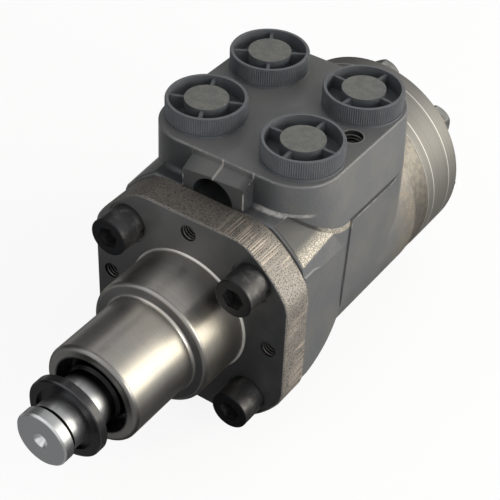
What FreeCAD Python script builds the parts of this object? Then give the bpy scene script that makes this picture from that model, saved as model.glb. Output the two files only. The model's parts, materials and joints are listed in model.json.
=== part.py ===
import FreeCAD, Part
import math
import os

# Orbital steering unit. Millimetres. The shaft axis is Y and the rear is +Y.
# The origin is on the axis at the front face of the neck flange, ports face +Z.

# Fits and clearances
RUNNING_FIT = 0.03
SLIDE_GAP = 0.02
SEAT_GAP = 0.05
LOOSE_GAP = 0.3

# Neck flange
FLANGE_EDGE_MARGIN = 16.33
FLANGE_ROUND_RISE = 5.7
FLANGE_THICKNESS = 15.0
FLANGE_EDGE_BREAK = 0.7
FLANGE_CORNER_BLEND = 14.0
SHOULDER_R = 26.8
SHOULDER_LENGTH = 24.4
SHOULDER_BREAK = 1.6
NECK_R = 21.1
NECK_LENGTH = 58.6
NECK_RIM_BREAK = 2.0
NECK_ROOT_FILLET = 1.2
SHOULDER_ROOT_FILLET = 1.5
NECK_SEAT_R = 16.5
NECK_SEAT_DEPTH = 27.0
NECK_BORE_R = 14.6
NOSE_CHAMBER_R = 17.4
NOSE_CHAMBER_DEPTH = 4.0
SPIGOT_R = 25.0
SPIGOT_LENGTH = 3.0

# Flange fastenings
FLANGE_SCREW_SPACING = 58.34
FLANGE_SCREW_R = 5.0
FLANGE_SCREW_HOLE_R = 5.5
FLANGE_SCREW_REACH = 17.0
CAP_HEAD_R = 8.0
CAP_HEAD_HEIGHT = 10.0
CAP_HEAD_BREAK = 0.5
CAP_SOCKET_FLATS = 8.0
CAP_SOCKET_DEPTH = 5.5
CAP_SOCKET_TURNS = (14.0, 2.0, 8.0, 25.0)
LOCK_WASHER_THICKNESS = 2.5
LOCK_WASHER_SPLIT = 1.2
SPOT_FACE_R = 9.0
SPOT_FACE_DEPTH = 0.5
BRACKET_HOLE_MARGIN = 7.5
BRACKET_HOLE_R = 3.4

# Housing
HOUSING_LENGTH = 98.0
BARREL_R = 43.7
BARREL_START = 29.0
TURNED_REAR_LENGTH = 11.5
TURNED_REAR_STEP = 0.35
FRONT_SIDE_STEP = 0.8
FRONT_TOP_RISE = 1.0
FRONT_ROUND_RISE = 5.9
FRONT_ROUND_LENGTH = 7.0
FRONT_ROUND_BULGE = 1.2
FRONT_EDGE_BREAK = 0.8
SHELF_ROUND_RISE = 7.9
SHELF_ROUND_FLARE = 1.8
SHELF_WALL_DROP = 19.7
SHELF_WALL_LEAN = 3.6
SIDE_WALL_DROP = 8.9
SIDE_WALL_CORNER_R = 30.0
SIDE_WALL_SLANT = 2.4
PORT_BLOCK_RISE = 14.7
PORT_BLOCK_SETBACK = 6.5
PORT_BLOCK_LENGTH = 82.5
PORT_WALL_DRAFT = 3.2
PORT_FACE_CORNER_R = 18.0
PORT_FOOT_CORNER_R = 24.0
PORT_FOOT_FILLET = 2.0
PORT_BLOCK_EDGE_BREAK = 0.8
BRIDGE_WIDTH = 28.0
BRIDGE_RIGHT_FRONT_RISE = 10.5
BRIDGE_LEFT_FRONT_RISE = 8.3
BRIDGE_REAR_RISE = 12.2
BRIDGE_STEP = 0.6
BRIDGE_BITE = 1.0
CORE_HOLE_R = 9.3
CORE_HOLE_DROP = 0.3
CORE_HOLE_DEPTH = 16.0

# Ports in the top face
PORT_SPACING_X = 44.6
PORT_FRONT_Y = 41.3
PORT_REAR_Y = 84.5
PORT_THREAD_R = 9.32
PORT_DEPTH = 17.0
PORT_MOUTH_R = 10.9
PORT_MOUTH_DEPTH = 4.0
GALLERY_R = 3.5
GROOVE_DEPTH = 2.6
GROOVE_WIDTH = 5.0
GROOVE_SECOND_Y = 56.0
GROOVE_THIRD_Y = 70.0
FACE_HOLE_X = 30.5
FACE_HOLE_Y = 64.0
FACE_HOLE_R = 4.25
FACE_HOLE_DEPTH = 15.0

# Port plugs
PLUG_R = 15.85
PLUG_LIP_R = 16.3
PLUG_LIP_HEIGHT = 1.1
PLUG_HEIGHT = 8.7
PLUG_WALL = 1.1
PLUG_FLOOR = 2.0
PLUG_HUB_R = 8.75
PLUG_HUB_DROP = 0.4
PLUG_SPOKE_WIDTH = 1.3
PLUG_SPOKE_DROP = 1.2
PLUG_SPIGOT_WALL = 1.0
PLUG_SPOKE_TURNS = (1.0, 24.5, -6.0, 31.0)

# Rotary valve
SPOOL_R = 14.0
SPOOL_BORE_R = 10.0
SPOOL_NOSE_Y = -1.0
SLEEVE_R = 19.0
VALVE_END_GAP = 0.2
RELIEF_R = 22.0
RELIEF_END = 36.0
PIN_Y = 48.0
PIN_R = 4.0
VALVE_SWING = 8.0
METER_HOLE_CIRCLE_R = 26.0
METER_HOLE_R = 2.2
METER_ROW_Y = 96.0
METER_RADIAL_R = 1.8

# Centring springs
SPRING_Y = 29.5
SPRING_WIDTH = 6.6
SPRING_LEAF = 0.5
SPRING_LEAVES = 3
SPRING_BOW_R = 74.0
SPRING_SLOT_HALF_HEIGHT = 4.3
SPRING_RING_THICKNESS = 1.5
SPRING_RING_WIDTH = 9.0

# Thrust bearing in front of the sleeve
THRUST_RACE = 1.0
THRUST_NEEDLE_R = 1.0
THRUST_NEEDLES = 14
THRUST_NEEDLE_LENGTH = 4.4
THRUST_INNER_R = 14.6
THRUST_OUTER_R = 21.4
THRUST_CAGE = 1.2

# Input shaft
SHAFT_NOSE_LENGTH = 12.6
SHAFT_END_R = 11.5
SHAFT_END_LENGTH = 4.9
SHAFT_NECK_R = 10.3
SHAFT_GROOVE_R = 9.6
SHAFT_GROOVE_WIDTH = 1.2
COLLAR_STAND_OFF = 14.9
SHAFT_JOURNAL_R = 11.3
SHAFT_BEARING_R = 12.5
SHAFT_BEARING_REACH_FRONT = 15.0
SHAFT_BEARING_REACH_REAR = 11.0
SHAFT_INNER_R = 11.0
SHAFT_BREAK = 0.8
CENTRE_DRILL_R = 3.3
CENTRE_DRILL_DEPTH = 4.0
COLLAR_R = 16.9
COLLAR_THICKNESS = 3.8
COLLAR_RECESS_R = 12.6
COLLAR_RECESS_DEPTH = 1.4
COLLAR_BREAK = 0.7

# Neck bearing, seal and retaining ring
NEEDLE_R = 1.5
NEEDLE_LENGTH = 10.0
NEEDLES = 16
BEARING_INSET = 16.6
BEARING_LENGTH = 14.0
SEAL_LENGTH = 4.0
CIRCLIP_THICKNESS = 1.2
CIRCLIP_DEPTH = 0.9
CIRCLIP_WIDTH = 2.6
CIRCLIP_LUG = 3.4
CIRCLIP_OPENING = 34.0
CIRCLIP_TURN = -4.0
SPOOL_SEAL_Y = 6.0
SPOOL_SEAL_WIDTH = 3.4
SPOOL_SEAL_DEPTH = 2.4

# Splines
SPLINE_TEETH = 12
SHAFT_SPLINE_TIP_R = 9.6
SHAFT_SPLINE_ROOT_R = 8.2
SHAFT_SPLINE_LENGTH = 20.0
SHAFT_SPLINE_FLANK = 0.05
CARDAN_SPLINE_TIP_R = 9.0
CARDAN_SPLINE_ROOT_R = 7.4
CARDAN_SPLINE_LENGTH = 9.0
CARDAN_SPLINE_FLANK = 0.24
CARDAN_CROWN_R = 25.0
SPLINE_RADIAL_GAP = 0.3

# Cardan
CARDAN_FORK_R = 8.6
CARDAN_FORK_FRONT = 7.5
CARDAN_FORK_BACK = 9.0
CARDAN_SLOT_DEPTH = 5.0
CARDAN_SHAFT_R = 5.8
CARDAN_PIN_GAP = 0.1

# Gear set
RING_TEETH = 7
STAR_TEETH = 6
ECCENTRICITY = 2.5
LOBE_CIRCLE_R = 31.0
LOBE_R = 6.5
GEAR_WIDTH = 13.0
GEAR_GAP = 0.08
POCKET_GAP = 0.3
PLATE_THICKNESS = 5.0
PLATE_BORE_R = 9.8
STACK_STEP = 0.2
SPACER_R = 7.0
SPACER_THICKNESS = 1.3

# End cover and its screws
COVER_THICKNESS = 7.5
COVER_EDGE_BREAK = 0.7
COVER_SCREW_EDGE = 9.0
COVER_SCREW_ANGLE = 90.0
COVER_SCREW_R = 4.0
COVER_SCREW_HOLE_R = 4.3
COVER_SCREW_BITE = 16.0
COVER_HEAD_FLATS = 13.0
COVER_HEAD_HEIGHT = 5.5
COVER_HEAD_CROWN = 2.8
COVER_HEAD_TURN = 32.0
COVER_HEAD_STEP = 19.7
COVER_WASHER_R = 7.4
COVER_WASHER_THICKNESS = 1.5
PIN_SCREW_INDEX = 3
STOP_PIN_R = 1.4
STOP_PIN_LENGTH = 5.0
CHECK_BALL_R = 4.25
CHECK_BALL_TRAVEL = 1.5
CHECK_HOLE_R = 4.4
BUSH_R = 5.0
BUSH_LENGTH = 16.0

# O-rings
FACE_RING_EDGE = 2.8
FACE_RING_SECTION_R = 0.9
SPIGOT_RING_SECTION_R = 1.0
RING_GROOVE_GAP = 0.05

# Places that follow from the sizes above
FLANGE_WIDTH = FLANGE_SCREW_SPACING + 2 * FLANGE_EDGE_MARGIN
FLANGE_ROUND_R = FLANGE_WIDTH / 2 + FLANGE_ROUND_RISE
BRACKET_HOLE_CIRCLE_R = FLANGE_WIDTH / 2 - BRACKET_HOLE_MARGIN
BEARING_Y = BEARING_INSET - NECK_LENGTH
SHAFT_BEARING_START = BEARING_Y - SHAFT_BEARING_REACH_FRONT
SHAFT_BEARING_END = BEARING_Y + SHAFT_BEARING_REACH_REAR
SHAFT_COLLAR_Y = -NECK_LENGTH - COLLAR_STAND_OFF
SHAFT_END_Y = SHAFT_COLLAR_Y - SHAFT_NOSE_LENGTH
FRONT_HALF_WIDTH = BARREL_R - FRONT_SIDE_STEP
FRONT_HALF_HEIGHT = BARREL_R + FRONT_TOP_RISE
FRONT_ROUND_R = FRONT_HALF_HEIGHT + FRONT_ROUND_RISE
SHELF_ROUND_R = FRONT_HALF_HEIGHT + SHELF_ROUND_RISE
SIDE_WALL_TOP = FRONT_HALF_HEIGHT - SIDE_WALL_DROP
PORT_FACE_Z = FRONT_HALF_HEIGHT + PORT_BLOCK_RISE
PORT_FACE_HALF_WIDTH = FRONT_HALF_WIDTH - PORT_WALL_DRAFT
CORE_HOLE_Z = FRONT_HALF_HEIGHT - CORE_HOLE_DROP
PORT_GROOVE_Y = (PORT_FRONT_Y, GROOVE_SECOND_Y, GROOVE_THIRD_Y, PORT_REAR_Y)
STACK_R = BARREL_R - STACK_STEP
COVER_SCREW_CIRCLE_R = STACK_R - COVER_SCREW_EDGE
FACE_RING_R = STACK_R - FACE_RING_EDGE
HOUSING_FRONT = FLANGE_THICKNESS
PORT_BLOCK_FRONT = HOUSING_FRONT + PORT_BLOCK_SETBACK
PORT_BLOCK_REAR = PORT_BLOCK_FRONT + PORT_BLOCK_LENGTH
HOUSING_REAR = HOUSING_FRONT + HOUSING_LENGTH
PLATE_REAR = HOUSING_REAR + PLATE_THICKNESS
GEAR_REAR = PLATE_REAR + GEAR_WIDTH
COVER_REAR = GEAR_REAR + COVER_THICKNESS
SPIGOT_REAR = HOUSING_FRONT + SPIGOT_LENGTH
SLEEVE_FRONT = SPIGOT_REAR + 2 * THRUST_RACE + 2 * THRUST_NEEDLE_R + SEAT_GAP
VALVE_REAR = HOUSING_REAR - VALVE_END_GAP
SLEEVE_BORE_R = SPOOL_R + RUNNING_FIT
PIN_SLOT_R = PIN_R + SPOOL_R * math.sin(math.radians(VALVE_SWING)) + 0.15
GEAR_MIDDLE = PLATE_REAR + GEAR_WIDTH / 2
CARDAN_TILT = math.degrees(math.atan2(ECCENTRICITY, GEAR_MIDDLE - PIN_Y))
LOBE_STEP = 360.0 / RING_TEETH
FLANGE_SEAT_Y = SPOT_FACE_DEPTH
CAP_HEAD_BASE = FLANGE_SEAT_Y - LOCK_WASHER_THICKNESS
SEAL_Y = BEARING_Y - BEARING_LENGTH / 2 - SEAT_GAP - SEAL_LENGTH
PORT_FLOOR = PORT_FACE_Z - PORT_DEPTH

X_AXIS = FreeCAD.Vector(1, 0, 0)
Y_AXIS = FreeCAD.Vector(0, 1, 0)
Z_AXIS = FreeCAD.Vector(0, 0, 1)
ORIGIN = FreeCAD.Vector(0, 0, 0)


def vec(x, y, z):
    return FreeCAD.Vector(x, y, z)


def rod(radius, start, end, x=0.0, z=0.0):
    """Cylinder along the shaft axis between two stations."""
    return Part.makeCylinder(radius, end - start, vec(x, start, z), Y_AXIS)


def post(radius, bottom, top, x, y):
    """Cylinder along Z between two heights."""
    return Part.makeCylinder(radius, top - bottom, vec(x, y, bottom), Z_AXIS)


def tube(outer, inner, start, end, x=0.0, z=0.0):
    return rod(outer, start, end, x, z).cut(rod(inner, start, end, x, z))


def box(x0, x1, y0, y1, z0, z1):
    return Part.makeBox(x1 - x0, y1 - y0, z1 - z0, vec(x0, y0, z0))


def turned(profile):
    """Solid of revolution about the shaft axis from (station, radius) corners."""
    corners = [vec(radius, station, 0) for station, radius in profile]
    face = Part.Face(Part.makePolygon(corners + corners[:1]))
    return face.revolve(ORIGIN, Y_AXIS, 360)


def polar(radius, degrees):
    """X and Z of a point at an angle from +X towards +Z."""
    angle = math.radians(degrees)
    return radius * math.cos(angle), radius * math.sin(angle)


def around(shape, degrees):
    """Copy of a shape turned about the shaft axis, from +X towards +Z."""
    copy = shape.copy()
    copy.rotate(ORIGIN, Y_AXIS, -degrees)
    return copy


def circle_edges(shape, radius, station, axis=1):
    """Circular edges of one radius whose centres lie at one station along an axis."""
    found = []
    for edge in shape.Edges:
        curve = edge.Curve
        if not isinstance(curve, Part.Circle):
            continue
        if abs(curve.Radius - radius) < 1e-4 and abs(curve.Center[axis] - station) < 1e-4:
            found.append(edge)
    return found


def is_across(edge, thickness):
    """True for a straight edge that runs the whole thickness along the shaft axis."""
    return isinstance(edge.Curve, Part.Line) and abs(edge.BoundBox.YLength - thickness) < 1e-4


def is_upright(edge, height):
    """True for a straight edge of the given height along Z."""
    return isinstance(edge.Curve, Part.Line) and abs(edge.BoundBox.ZLength - height) < 1e-4


def hexagon(flats, start, end, x, z, turn=0.0):
    """Hexagonal prism along the shaft axis."""
    radius = flats / math.sqrt(3)
    corners = []
    for k in range(6):
        dx, dz = polar(radius, turn + 60 * k)
        corners.append(vec(x + dx, start, z + dz))
    return Part.Face(Part.makePolygon(corners + corners[:1])).extrude(Y_AXIS * (end - start))


def square_places(spacing):
    half = spacing / 2
    return [(-half, half), (half, half), (half, -half), (-half, -half)]


def port_places():
    half = PORT_SPACING_X / 2
    return [(x, y) for y in (PORT_FRONT_Y, PORT_REAR_Y) for x in (half, -half)]


def cover_screw_places():
    return [polar(COVER_SCREW_CIRCLE_R, COVER_SCREW_ANGLE + LOBE_STEP * k) for k in range(RING_TEETH)]


def meter_angles():
    return [COVER_SCREW_ANGLE + LOBE_STEP * (k + 0.5) for k in range(RING_TEETH)]


def cover_screw_holes(start, end):
    return [rod(COVER_SCREW_HOLE_R, start, end, x, z) for x, z in cover_screw_places()]


def meter_holes(start, end):
    places = [polar(METER_HOLE_CIRCLE_R, angle) for angle in meter_angles()]
    return [rod(METER_HOLE_R, start, end, x, z) for x, z in places]


def face_groove(station):
    """Ring groove cut into a rear face for one of the stack's O-rings."""
    depth = 2 * FACE_RING_SECTION_R
    outer = FACE_RING_R + FACE_RING_SECTION_R + RING_GROOVE_GAP
    inner = FACE_RING_R - FACE_RING_SECTION_R - RING_GROOVE_GAP
    return tube(outer, inner, station - depth, station)


def o_ring(radius, section, station):
    return Part.makeTorus(radius, section, vec(0, station, 0), Y_AXIS)


def spline_bar(teeth, tip, root, flank, start, end):
    """External spline: a root core with straight tapering teeth, thinned by flank."""
    core = rod(root, start, end)
    half_root = math.radians(360.0 / teeth * 0.30)
    half_tip = math.radians(360.0 / teeth * 0.19)
    reach_in = root - 0.6
    root_half = root * math.sin(half_root) - flank
    tip_half = tip * math.sin(half_tip) - flank
    low = [vec(reach_in, start, -root_half), vec(root, start, -root_half), vec(tip + 1, start, -tip_half)]
    high = [vec(tip + 1, start, tip_half), vec(root, start, root_half), vec(reach_in, start, root_half)]
    corners = low + high
    tooth = Part.Face(Part.makePolygon(corners + corners[:1])).extrude(Y_AXIS * (end - start))
    ridges = [around(tooth, 360.0 / teeth * k) for k in range(teeth)]
    return core.multiFuse(ridges).common(rod(tip, start, end)).removeSplitter()


def neck_flange():
    """Mounting flange and neck in one piece, with the shaft bore and rear spigot."""
    half = FLANGE_WIDTH / 2
    plate = rod(FLANGE_ROUND_R, 0, FLANGE_THICKNESS)
    plate = plate.common(box(-half, half, 0, FLANGE_THICKNESS, -half, half))
    plate = plate.makeFillet(FLANGE_CORNER_BLEND, [e for e in plate.Edges if is_across(e, FLANGE_THICKNESS)])
    middle = FLANGE_THICKNESS / 2
    rims = [e for e in plate.Edges if abs(e.CenterOfMass.y - middle) > middle - 0.1]
    plate = plate.makeChamfer(FLANGE_EDGE_BREAK, rims)
    neck = turned([
        (SPIGOT_REAR, 0), (SPIGOT_REAR, SPIGOT_R - SEAT_GAP), (1, SPIGOT_R - SEAT_GAP), (1, SHOULDER_R),
        (-SHOULDER_LENGTH, SHOULDER_R), (-SHOULDER_LENGTH, NECK_R), (-NECK_LENGTH, NECK_R), (-NECK_LENGTH, 0),
    ])
    body = plate.fuse(neck).removeSplitter()
    body = body.makeFillet(NECK_ROOT_FILLET, circle_edges(body, SHOULDER_R, 0))
    body = body.makeFillet(SHOULDER_BREAK, circle_edges(body, SHOULDER_R, -SHOULDER_LENGTH))
    body = body.makeFillet(SHOULDER_ROOT_FILLET, circle_edges(body, NECK_R, -SHOULDER_LENGTH))
    body = body.makeFillet(NECK_RIM_BREAK, circle_edges(body, NECK_R, -NECK_LENGTH))
    seat_end = NECK_SEAT_DEPTH - NECK_LENGTH
    body = body.cut(turned([
        (-NECK_LENGTH - 1, 0), (-NECK_LENGTH - 1, NECK_SEAT_R), (seat_end, NECK_SEAT_R),
        (seat_end, NECK_BORE_R), (-NOSE_CHAMBER_DEPTH, NECK_BORE_R),
        (-NOSE_CHAMBER_DEPTH, NOSE_CHAMBER_R - SPOOL_SEAL_DEPTH),
        (SPIGOT_REAR + 1, NOSE_CHAMBER_R - SPOOL_SEAL_DEPTH), (SPIGOT_REAR + 1, 0),
    ]))
    seal_rear = SPOOL_SEAL_Y + SPOOL_SEAL_WIDTH
    body = body.cut(rod(NOSE_CHAMBER_R, SPOOL_SEAL_Y, seal_rear))
    body = body.cut(rod(NECK_SEAT_R + CIRCLIP_DEPTH, circlip_front(), circlip_front() + CIRCLIP_THICKNESS))
    body = body.cut(spigot_groove())
    cuts = []
    for x, z in square_places(FLANGE_SCREW_SPACING):
        cuts.append(rod(FLANGE_SCREW_HOLE_R, -1, FLANGE_THICKNESS + 1, x, z))
        cuts.append(rod(SPOT_FACE_R, -1, SPOT_FACE_DEPTH, x, z))
    for k in range(4):
        x, z = polar(BRACKET_HOLE_CIRCLE_R, 90 * k)
        cuts.append(rod(BRACKET_HOLE_R, -1, FLANGE_THICKNESS + 1, x, z))
    return body.cut(cuts)


def spigot_groove():
    depth = 2 * SPIGOT_RING_SECTION_R - 0.2
    middle = HOUSING_FRONT + SPIGOT_LENGTH / 2
    outer = SPIGOT_R + 1
    return tube(outer, SPIGOT_R - depth, middle - SPIGOT_RING_SECTION_R, middle + SPIGOT_RING_SECTION_R)


def flange_o_ring():
    """O-ring around the spigot, squeezed square between groove and counterbore."""
    middle = HOUSING_FRONT + SPIGOT_LENGTH / 2
    section = SPIGOT_RING_SECTION_R - RING_GROOVE_GAP
    return tube(SPIGOT_R, SPIGOT_R - 2 * section + 0.1, middle - section, middle + section)


def flange_screws():
    """Four socket head cap screws through the flange into the housing."""
    screws = []
    tip = FLANGE_THICKNESS + FLANGE_SCREW_REACH
    for (x, z), turn in zip(square_places(FLANGE_SCREW_SPACING), CAP_SOCKET_TURNS):
        front = CAP_HEAD_BASE - CAP_HEAD_HEIGHT
        head = rod(CAP_HEAD_R, front, CAP_HEAD_BASE, x, z)
        head = head.makeFillet(CAP_HEAD_BREAK, circle_edges(head, CAP_HEAD_R, front))
        shank = rod(FLANGE_SCREW_R, CAP_HEAD_BASE, tip, x, z)
        socket = hexagon(CAP_SOCKET_FLATS, front - 1, front + CAP_SOCKET_DEPTH, x, z, turn)
        screws.append(head.fuse(shank).cut(socket).removeSplitter())
    return Part.makeCompound(screws)


def flange_lock_washers():
    """Split spring washers under the cap screw heads."""
    washers = []
    for x, z in square_places(FLANGE_SCREW_SPACING):
        ring = tube(CAP_HEAD_R, FLANGE_SCREW_R + 0.1, CAP_HEAD_BASE, FLANGE_SEAT_Y, x, z)
        half = LOCK_WASHER_SPLIT / 2
        split = box(x, x + CAP_HEAD_R + 1, CAP_HEAD_BASE, FLANGE_SEAT_Y, z - half, z + half)
        washers.append(ring.cut(split))
    return Part.makeCompound(washers)


def front_square(end):
    """Square bar from the front face to a station, its front edges broken."""
    half = FRONT_HALF_WIDTH
    bar = box(-half, half, HOUSING_FRONT, end, -FRONT_HALF_HEIGHT, FRONT_HALF_HEIGHT)
    rims = [e for e in bar.Edges if e.BoundBox.YMax < HOUSING_FRONT + 0.01]
    return bar.makeChamfer(FRONT_EDGE_BREAK, rims)


def front_block():
    """Square front of the casting, its corners rounded and fading into the barrel."""
    start = HOUSING_FRONT
    broken = start + FRONT_EDGE_BREAK
    bend = start + FRONT_ROUND_LENGTH
    end = BARREL_START + HOUSING_FRONT
    middle = (bend + end) / 2
    middle_r = (FRONT_ROUND_R + BARREL_R) / 2 + FRONT_ROUND_BULGE
    front_line = [vec(0, end, 0), vec(0, start, 0), vec(FRONT_ROUND_R - FRONT_EDGE_BREAK, start, 0)]
    front_line += [vec(FRONT_ROUND_R, broken, 0), vec(FRONT_ROUND_R, bend, 0)]
    fade = Part.Arc(vec(FRONT_ROUND_R, bend, 0), vec(middle_r, middle, 0), vec(BARREL_R, end, 0)).toShape()
    edges = Part.makePolygon(front_line).Edges + [fade, Part.makeLine(vec(BARREL_R, end, 0), vec(0, end, 0))]
    spun = Part.Face(Part.Wire(edges)).revolve(ORIGIN, Y_AXIS, 360)
    return spun.common(front_square(end)).fuse(shelf_corners()).removeSplitter()


def shelf_corners():
    """Fuller upper corners beside the shelf, flaring a little until the port block takes over."""
    start = HOUSING_FRONT
    end = PORT_BLOCK_FRONT + PORT_FOOT_CORNER_R
    flare = turned([
        (start, 0), (start, SHELF_ROUND_R - FRONT_EDGE_BREAK), (start + FRONT_EDGE_BREAK, SHELF_ROUND_R),
        (end, SHELF_ROUND_R + SHELF_ROUND_FLARE), (end, 0),
    ])
    half = FRONT_HALF_WIDTH
    bend = FRONT_HALF_HEIGHT - SHELF_WALL_DROP
    top = half - SHELF_WALL_LEAN
    outline = [vec(-half, start, 0), vec(-half, start, bend), vec(-top, start, FRONT_HALF_HEIGHT)]
    outline += [vec(top, start, FRONT_HALF_HEIGHT), vec(half, start, bend), vec(half, start, 0)]
    upper = Part.Face(Part.makePolygon(outline + outline[:1])).extrude(Y_AXIS * (end - start))
    return flare.common(front_square(end)).common(upper)


def rounded_outline(half_width, radius, height):
    """Closed outline of the port block at one height: a rectangle with round corners."""
    front = PORT_BLOCK_FRONT
    rear = PORT_BLOCK_REAR
    diagonal = radius * (1 - math.sqrt(0.5))
    corners = [(-half_width, front, 1, 1), (half_width, front, -1, 1)]
    corners += [(half_width, rear, -1, -1), (-half_width, rear, 1, -1)]
    edges = []
    points = []
    for index, (x, y, sx, sy) in enumerate(corners):
        along_x = vec(x + sx * radius, y, height)
        along_y = vec(x, y + sy * radius, height)
        middle = vec(x + sx * diagonal, y + sy * diagonal, height)
        first, last = (along_y, along_x) if index % 2 == 0 else (along_x, along_y)
        points.append((first, last))
        edges.append(Part.Arc(first, middle, last).toShape())
    for index in range(4):
        edges.append(Part.makeLine(points[index][1], points[(index + 1) % 4][0]))
    return Part.Wire(Part.__sortEdges__(edges))


def port_block():
    """Raised block with drafted sides that carries the four ports."""
    low = rounded_outline(FRONT_HALF_WIDTH, PORT_FOOT_CORNER_R, SIDE_WALL_TOP)
    top = rounded_outline(PORT_FACE_HALF_WIDTH, PORT_FACE_CORNER_R, PORT_FACE_Z)
    upper = Part.makeLoft([low, top], True, True)
    rims = [e for e in upper.Edges if e.BoundBox.ZMin > PORT_FACE_Z - 0.01]
    upper = upper.makeFillet(PORT_BLOCK_EDGE_BREAK, rims)
    lower = Part.Face(low).extrude(Z_AXIS * -SIDE_WALL_TOP)
    return upper.fuse(lower)


def bridge_section(x, front_rise, rear_rise):
    """Side outline of the boss at one x, with its top sloping up to the rear."""
    front = HOUSING_FRONT
    back = PORT_BLOCK_FRONT + BRIDGE_BITE
    outline = [vec(x, front, SIDE_WALL_TOP), vec(x, front, FRONT_HALF_HEIGHT + front_rise)]
    outline += [vec(x, back, FRONT_HALF_HEIGHT + rear_rise), vec(x, back, SIDE_WALL_TOP)]
    return Part.makePolygon(outline + outline[:1])


def bridge():
    """Small boss before the port block, its left half a step higher at the parting line."""
    half = BRIDGE_WIDTH / 2
    middle_rise = (BRIDGE_LEFT_FRONT_RISE + BRIDGE_RIGHT_FRONT_RISE) / 2
    rear = BRIDGE_REAR_RISE
    left_end = bridge_section(-half, BRIDGE_LEFT_FRONT_RISE, rear)
    left_middle = bridge_section(0, middle_rise + BRIDGE_STEP, rear + BRIDGE_STEP)
    right_middle = bridge_section(0, middle_rise, rear)
    right_end = bridge_section(half, BRIDGE_RIGHT_FRONT_RISE, rear)
    left = Part.makeLoft([left_end, left_middle], True, True)
    return left.fuse(Part.makeLoft([right_middle, right_end], True, True))


def side_walls():
    """Flat lower sides of the casting, which stand out a little and end in round rear corners."""
    front = HOUSING_FRONT + BARREL_START
    side = [vec(-BARREL_R, front, 0), vec(-BARREL_R, front + SIDE_WALL_SLANT, SIDE_WALL_TOP)]
    side += [vec(-BARREL_R, PORT_BLOCK_REAR, SIDE_WALL_TOP), vec(-BARREL_R, PORT_BLOCK_REAR, 0)]
    walls = Part.Face(Part.makePolygon(side + side[:1])).extrude(X_AXIS * (2 * BARREL_R))
    rear = [e for e in walls.Edges if e.BoundBox.YMin > PORT_BLOCK_REAR - 0.01]
    return walls.makeFillet(SIDE_WALL_CORNER_R, [e for e in rear if is_upright(e, SIDE_WALL_TOP)])


def housing_casting():
    """Outer shape of the valve housing without any machining."""
    barrel_start = HOUSING_FRONT + BARREL_START
    turned_start = HOUSING_REAR - TURNED_REAR_LENGTH
    barrel = rod(BARREL_R, barrel_start, turned_start)
    rear = rod(BARREL_R - TURNED_REAR_STEP, turned_start, HOUSING_REAR)
    body = front_block()
    for piece in (barrel, rear, side_walls(), port_block(), bridge()):
        body = body.fuse(piece)
    body = body.removeSplitter()
    return body.makeFillet(PORT_FOOT_FILLET, [e for e in body.Edges if is_port_foot(e)])


def is_port_foot(edge):
    """True for an edge where the front wall of the port block stands on the shelf."""
    bounds = edge.BoundBox
    level = abs(bounds.ZMin - FRONT_HALF_HEIGHT) + abs(bounds.ZMax - FRONT_HALF_HEIGHT) < 0.01
    return level and bounds.YMin > PORT_BLOCK_FRONT - 0.05


def valve_bore():
    """Bore for the sleeve, its ring grooves, front relief and spigot seat."""
    cuts = [rod(SLEEVE_R + RUNNING_FIT, HOUSING_FRONT - 1, HOUSING_REAR + 1)]
    cuts.append(rod(SPIGOT_R, HOUSING_FRONT - 1, SPIGOT_REAR))
    cuts.append(rod(RELIEF_R, HOUSING_FRONT, RELIEF_END))
    for y in PORT_GROOVE_Y:
        cuts.append(rod(SLEEVE_R + GROOVE_DEPTH, y - GROOVE_WIDTH / 2, y + GROOVE_WIDTH / 2))
    return cuts


def port_cuts():
    """Four threaded ports, each with a slanting gallery to its groove in the bore."""
    cuts = []
    grooves = (PORT_FRONT_Y, GROOVE_SECOND_Y, PORT_REAR_Y, GROOVE_THIRD_Y)
    for (x, y), groove in zip(port_places(), grooves):
        cuts.append(post(PORT_THREAD_R, PORT_FLOOR, PORT_FACE_Z + 1, x, y))
        cuts.append(post(PORT_MOUTH_R, PORT_FACE_Z - PORT_MOUTH_DEPTH, PORT_FACE_Z + 1, x, y))
        start = vec(x, y, PORT_FLOOR + 1)
        end = vec(0, groove, SLEEVE_R - 5)
        way = end - start
        gallery = Part.makeCylinder(GALLERY_R, way.Length, start, way)
        cuts.append(gallery.cut(rod(SLEEVE_R, HOUSING_FRONT, HOUSING_REAR)))
    return cuts


def face_hole_cuts():
    """Two tapped holes in the port face for a valve block."""
    bottom = PORT_FACE_Z - FACE_HOLE_DEPTH
    return [post(FACE_HOLE_R, bottom, PORT_FACE_Z + 1, x, FACE_HOLE_Y) for x in (-FACE_HOLE_X, FACE_HOLE_X)]


def rear_face_cuts():
    """Cover screw holes, metering passages and the check valve hole."""
    cuts = [face_groove(HOUSING_REAR)]
    shank_end = HOUSING_REAR - COVER_SCREW_BITE
    for index, (x, z) in enumerate(cover_screw_places()):
        cuts.append(rod(COVER_SCREW_R + SLIDE_GAP, shank_end - 2, HOUSING_REAR + 1, x, z))
        if index == PIN_SCREW_INDEX:
            cuts.append(rod(BUSH_R, HOUSING_REAR - BUSH_LENGTH, HOUSING_REAR + 1, x, z))
            cuts.append(rod(CHECK_HOLE_R, check_ball_y() - CHECK_BALL_R, HOUSING_REAR, x, z))
    for angle in meter_angles():
        x, z = polar(METER_HOLE_CIRCLE_R, angle)
        cuts.append(rod(METER_HOLE_R, METER_ROW_Y - METER_RADIAL_R - 1, HOUSING_REAR + 1, x, z))
        reach = METER_HOLE_CIRCLE_R - SLEEVE_R + 1
        cuts.append(Part.makeCylinder(METER_RADIAL_R, reach, vec(x, METER_ROW_Y, z), vec(-x, 0, -z)))
    return cuts


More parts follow.
